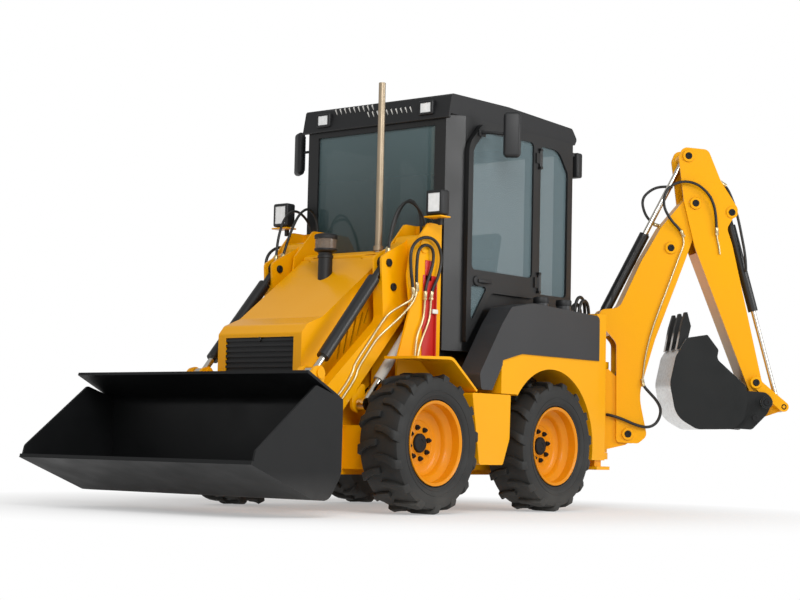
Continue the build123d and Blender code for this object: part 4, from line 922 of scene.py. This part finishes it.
base = rounded_box("seat_base", (440, 440, 300), (-1025, 0, 846), 30, 4)
dressed(base, black_plastic, "machine")
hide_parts("seat")
cushion = puffed(rounded_box("seat_cushion", (486, 456, 76), (-1035, 0, 1040), 24, 4))
channels(cushion, 1, [(SHIFT.y + y) * MM for y in (-120, 0, 120)], Vector((0, 0, 1)))
# The back is made at the origin and then leaned. The cloth simulation makes millimetres of a last
# digit here, so these steps and their order stay.
back = rounded_box("seat_back", (64, 430, 540), (0, 0, 0), 24, 4)
back.location = -SHIFT * MM
settle(back)
back.rotation_euler = (0, math.radians(-11), 0)
back.location = on(-1246, 0, 1362)
back = puffed(settle(back))
channels(back, 2, [z * MM for z in (1240, 1350, 1460)], Vector((0.98, 0, 0.19)))
for pad in (cushion, back):
    modify(pad, "SUBSURF", levels=1, render_levels=1)
    only(pad)
    bpy.ops.object.shade_smooth()
    dressed(pad, seat_cloth, "machine")

# Studio: a white floor, a large soft light above and in front, and a plain pale world.
bpy.ops.mesh.primitive_plane_add(size=60.0, location=(0, 0, 0))
floor = bpy.context.object
floor.name = "studio_floor"
floor_paint = bpy.data.materials.new("studio_floor_white")
floor_paint.use_nodes = True
paper = floor_paint.node_tree
matt = paper.nodes["Principled BSDF"]
matt.inputs["Base Color"].default_value = linear("#f4f4f4")
matt.inputs["Roughness"].default_value = 0.7
# The eye sees the floor run into the white backdrop; near the machine it keeps its shadow.
lit = add(paper, "ShaderNodeEmission", {"Color": (1, 1, 1, 1), "Strength": 1.0})
ground = add(paper, "ShaderNodeTexCoord").outputs["Object"]
spot = add(paper, "ShaderNodeVectorMath", {0: ground, 1: on(-500, 100, 0)}, operation="SUBTRACT")
far = add(paper, "ShaderNodeVectorMath", {0: spot.outputs["Vector"]}, operation="LENGTH")
away = ranged(paper, far.outputs["Value"], 1.5, 2.9, 0.35, 1.0)
rays = add(paper, "ShaderNodeLightPath").outputs
seen = maths(paper, "MAXIMUM", rays["Is Camera Ray"], rays["Is Glossy Ray"])
seen = maths(paper, "MAXIMUM", seen, rays["Is Transmission Ray"])
blend = add(paper, "ShaderNodeMixShader", {0: maths(paper, "MULTIPLY", seen, away), 1: matt.outputs[0],
                                           2: lit.outputs[0]})
paper.links.new(blend.outputs[0], paper.nodes["Material Output"].inputs["Surface"])
floor.data.materials.append(floor_paint)

world = bpy.data.worlds.new("studio_world")
bpy.context.scene.world = world
world.use_nodes = True
sky = world.node_tree
background = sky.nodes["Background"]
rays = add(sky, "ShaderNodeLightPath").outputs
seen = maths(sky, "MAXIMUM", rays["Is Camera Ray"], rays["Is Transmission Ray"])
background.inputs["Color"].default_value = (1, 1, 1, 1)
sky.links.new(ranged(sky, seen, 0.0, 1.0, 0.5, 1.0), background.inputs["Strength"])

for name, place, aim, size, power in (
        ("key_soft", (4.5, 4.5, 4.5), (0.0, 0, 0.8), 3.0, 260),
        ("side_soft", (-2.5, 7.0, 3.0), (-0.6, 0, 0.9), 3.0, 190)):
    light = bpy.data.lights.new(name, "AREA")
    light.size, light.energy = size, power
    lamp = bpy.data.objects.new(name, light)
    bpy.context.collection.objects.link(lamp)
    way = Vector(aim) - Vector(place)
    lamp.matrix_world = Matrix.Translation(place) @ way.to_track_quat("-Z", "Y").to_matrix().to_4x4()

# Camera: low, in front and to the machine's left, rolled by about a degree as in the photograph.
CAMERA_PLACE = Vector((8.0685, 6.1248, 0.3534))
YAW, PITCH, ROLL = 3.8190, 0.0804, 0.0226
ahead = Vector((math.cos(PITCH) * math.cos(YAW), math.cos(PITCH) * math.sin(YAW), math.sin(PITCH)))
level = ahead.cross(Vector((0, 0, 1))).normalized()
upright = level.cross(ahead)
right = level * math.cos(ROLL) + upright * math.sin(ROLL)
top = upright * math.cos(ROLL) - level * math.sin(ROLL)
camera_data = bpy.data.cameras.new("camera")
camera_data.sensor_fit, camera_data.sensor_width, camera_data.lens = "HORIZONTAL", 36.0, 80.99
camera = bpy.data.objects.new("camera", camera_data)
bpy.context.collection.objects.link(camera)
camera.matrix_world = Matrix.Translation(CAMERA_PLACE) @ Matrix((right, top, -ahead)).transposed().to_4x4()
bpy.context.scene.camera = camera
bpy.context.scene.view_settings.view_transform = "Standard"
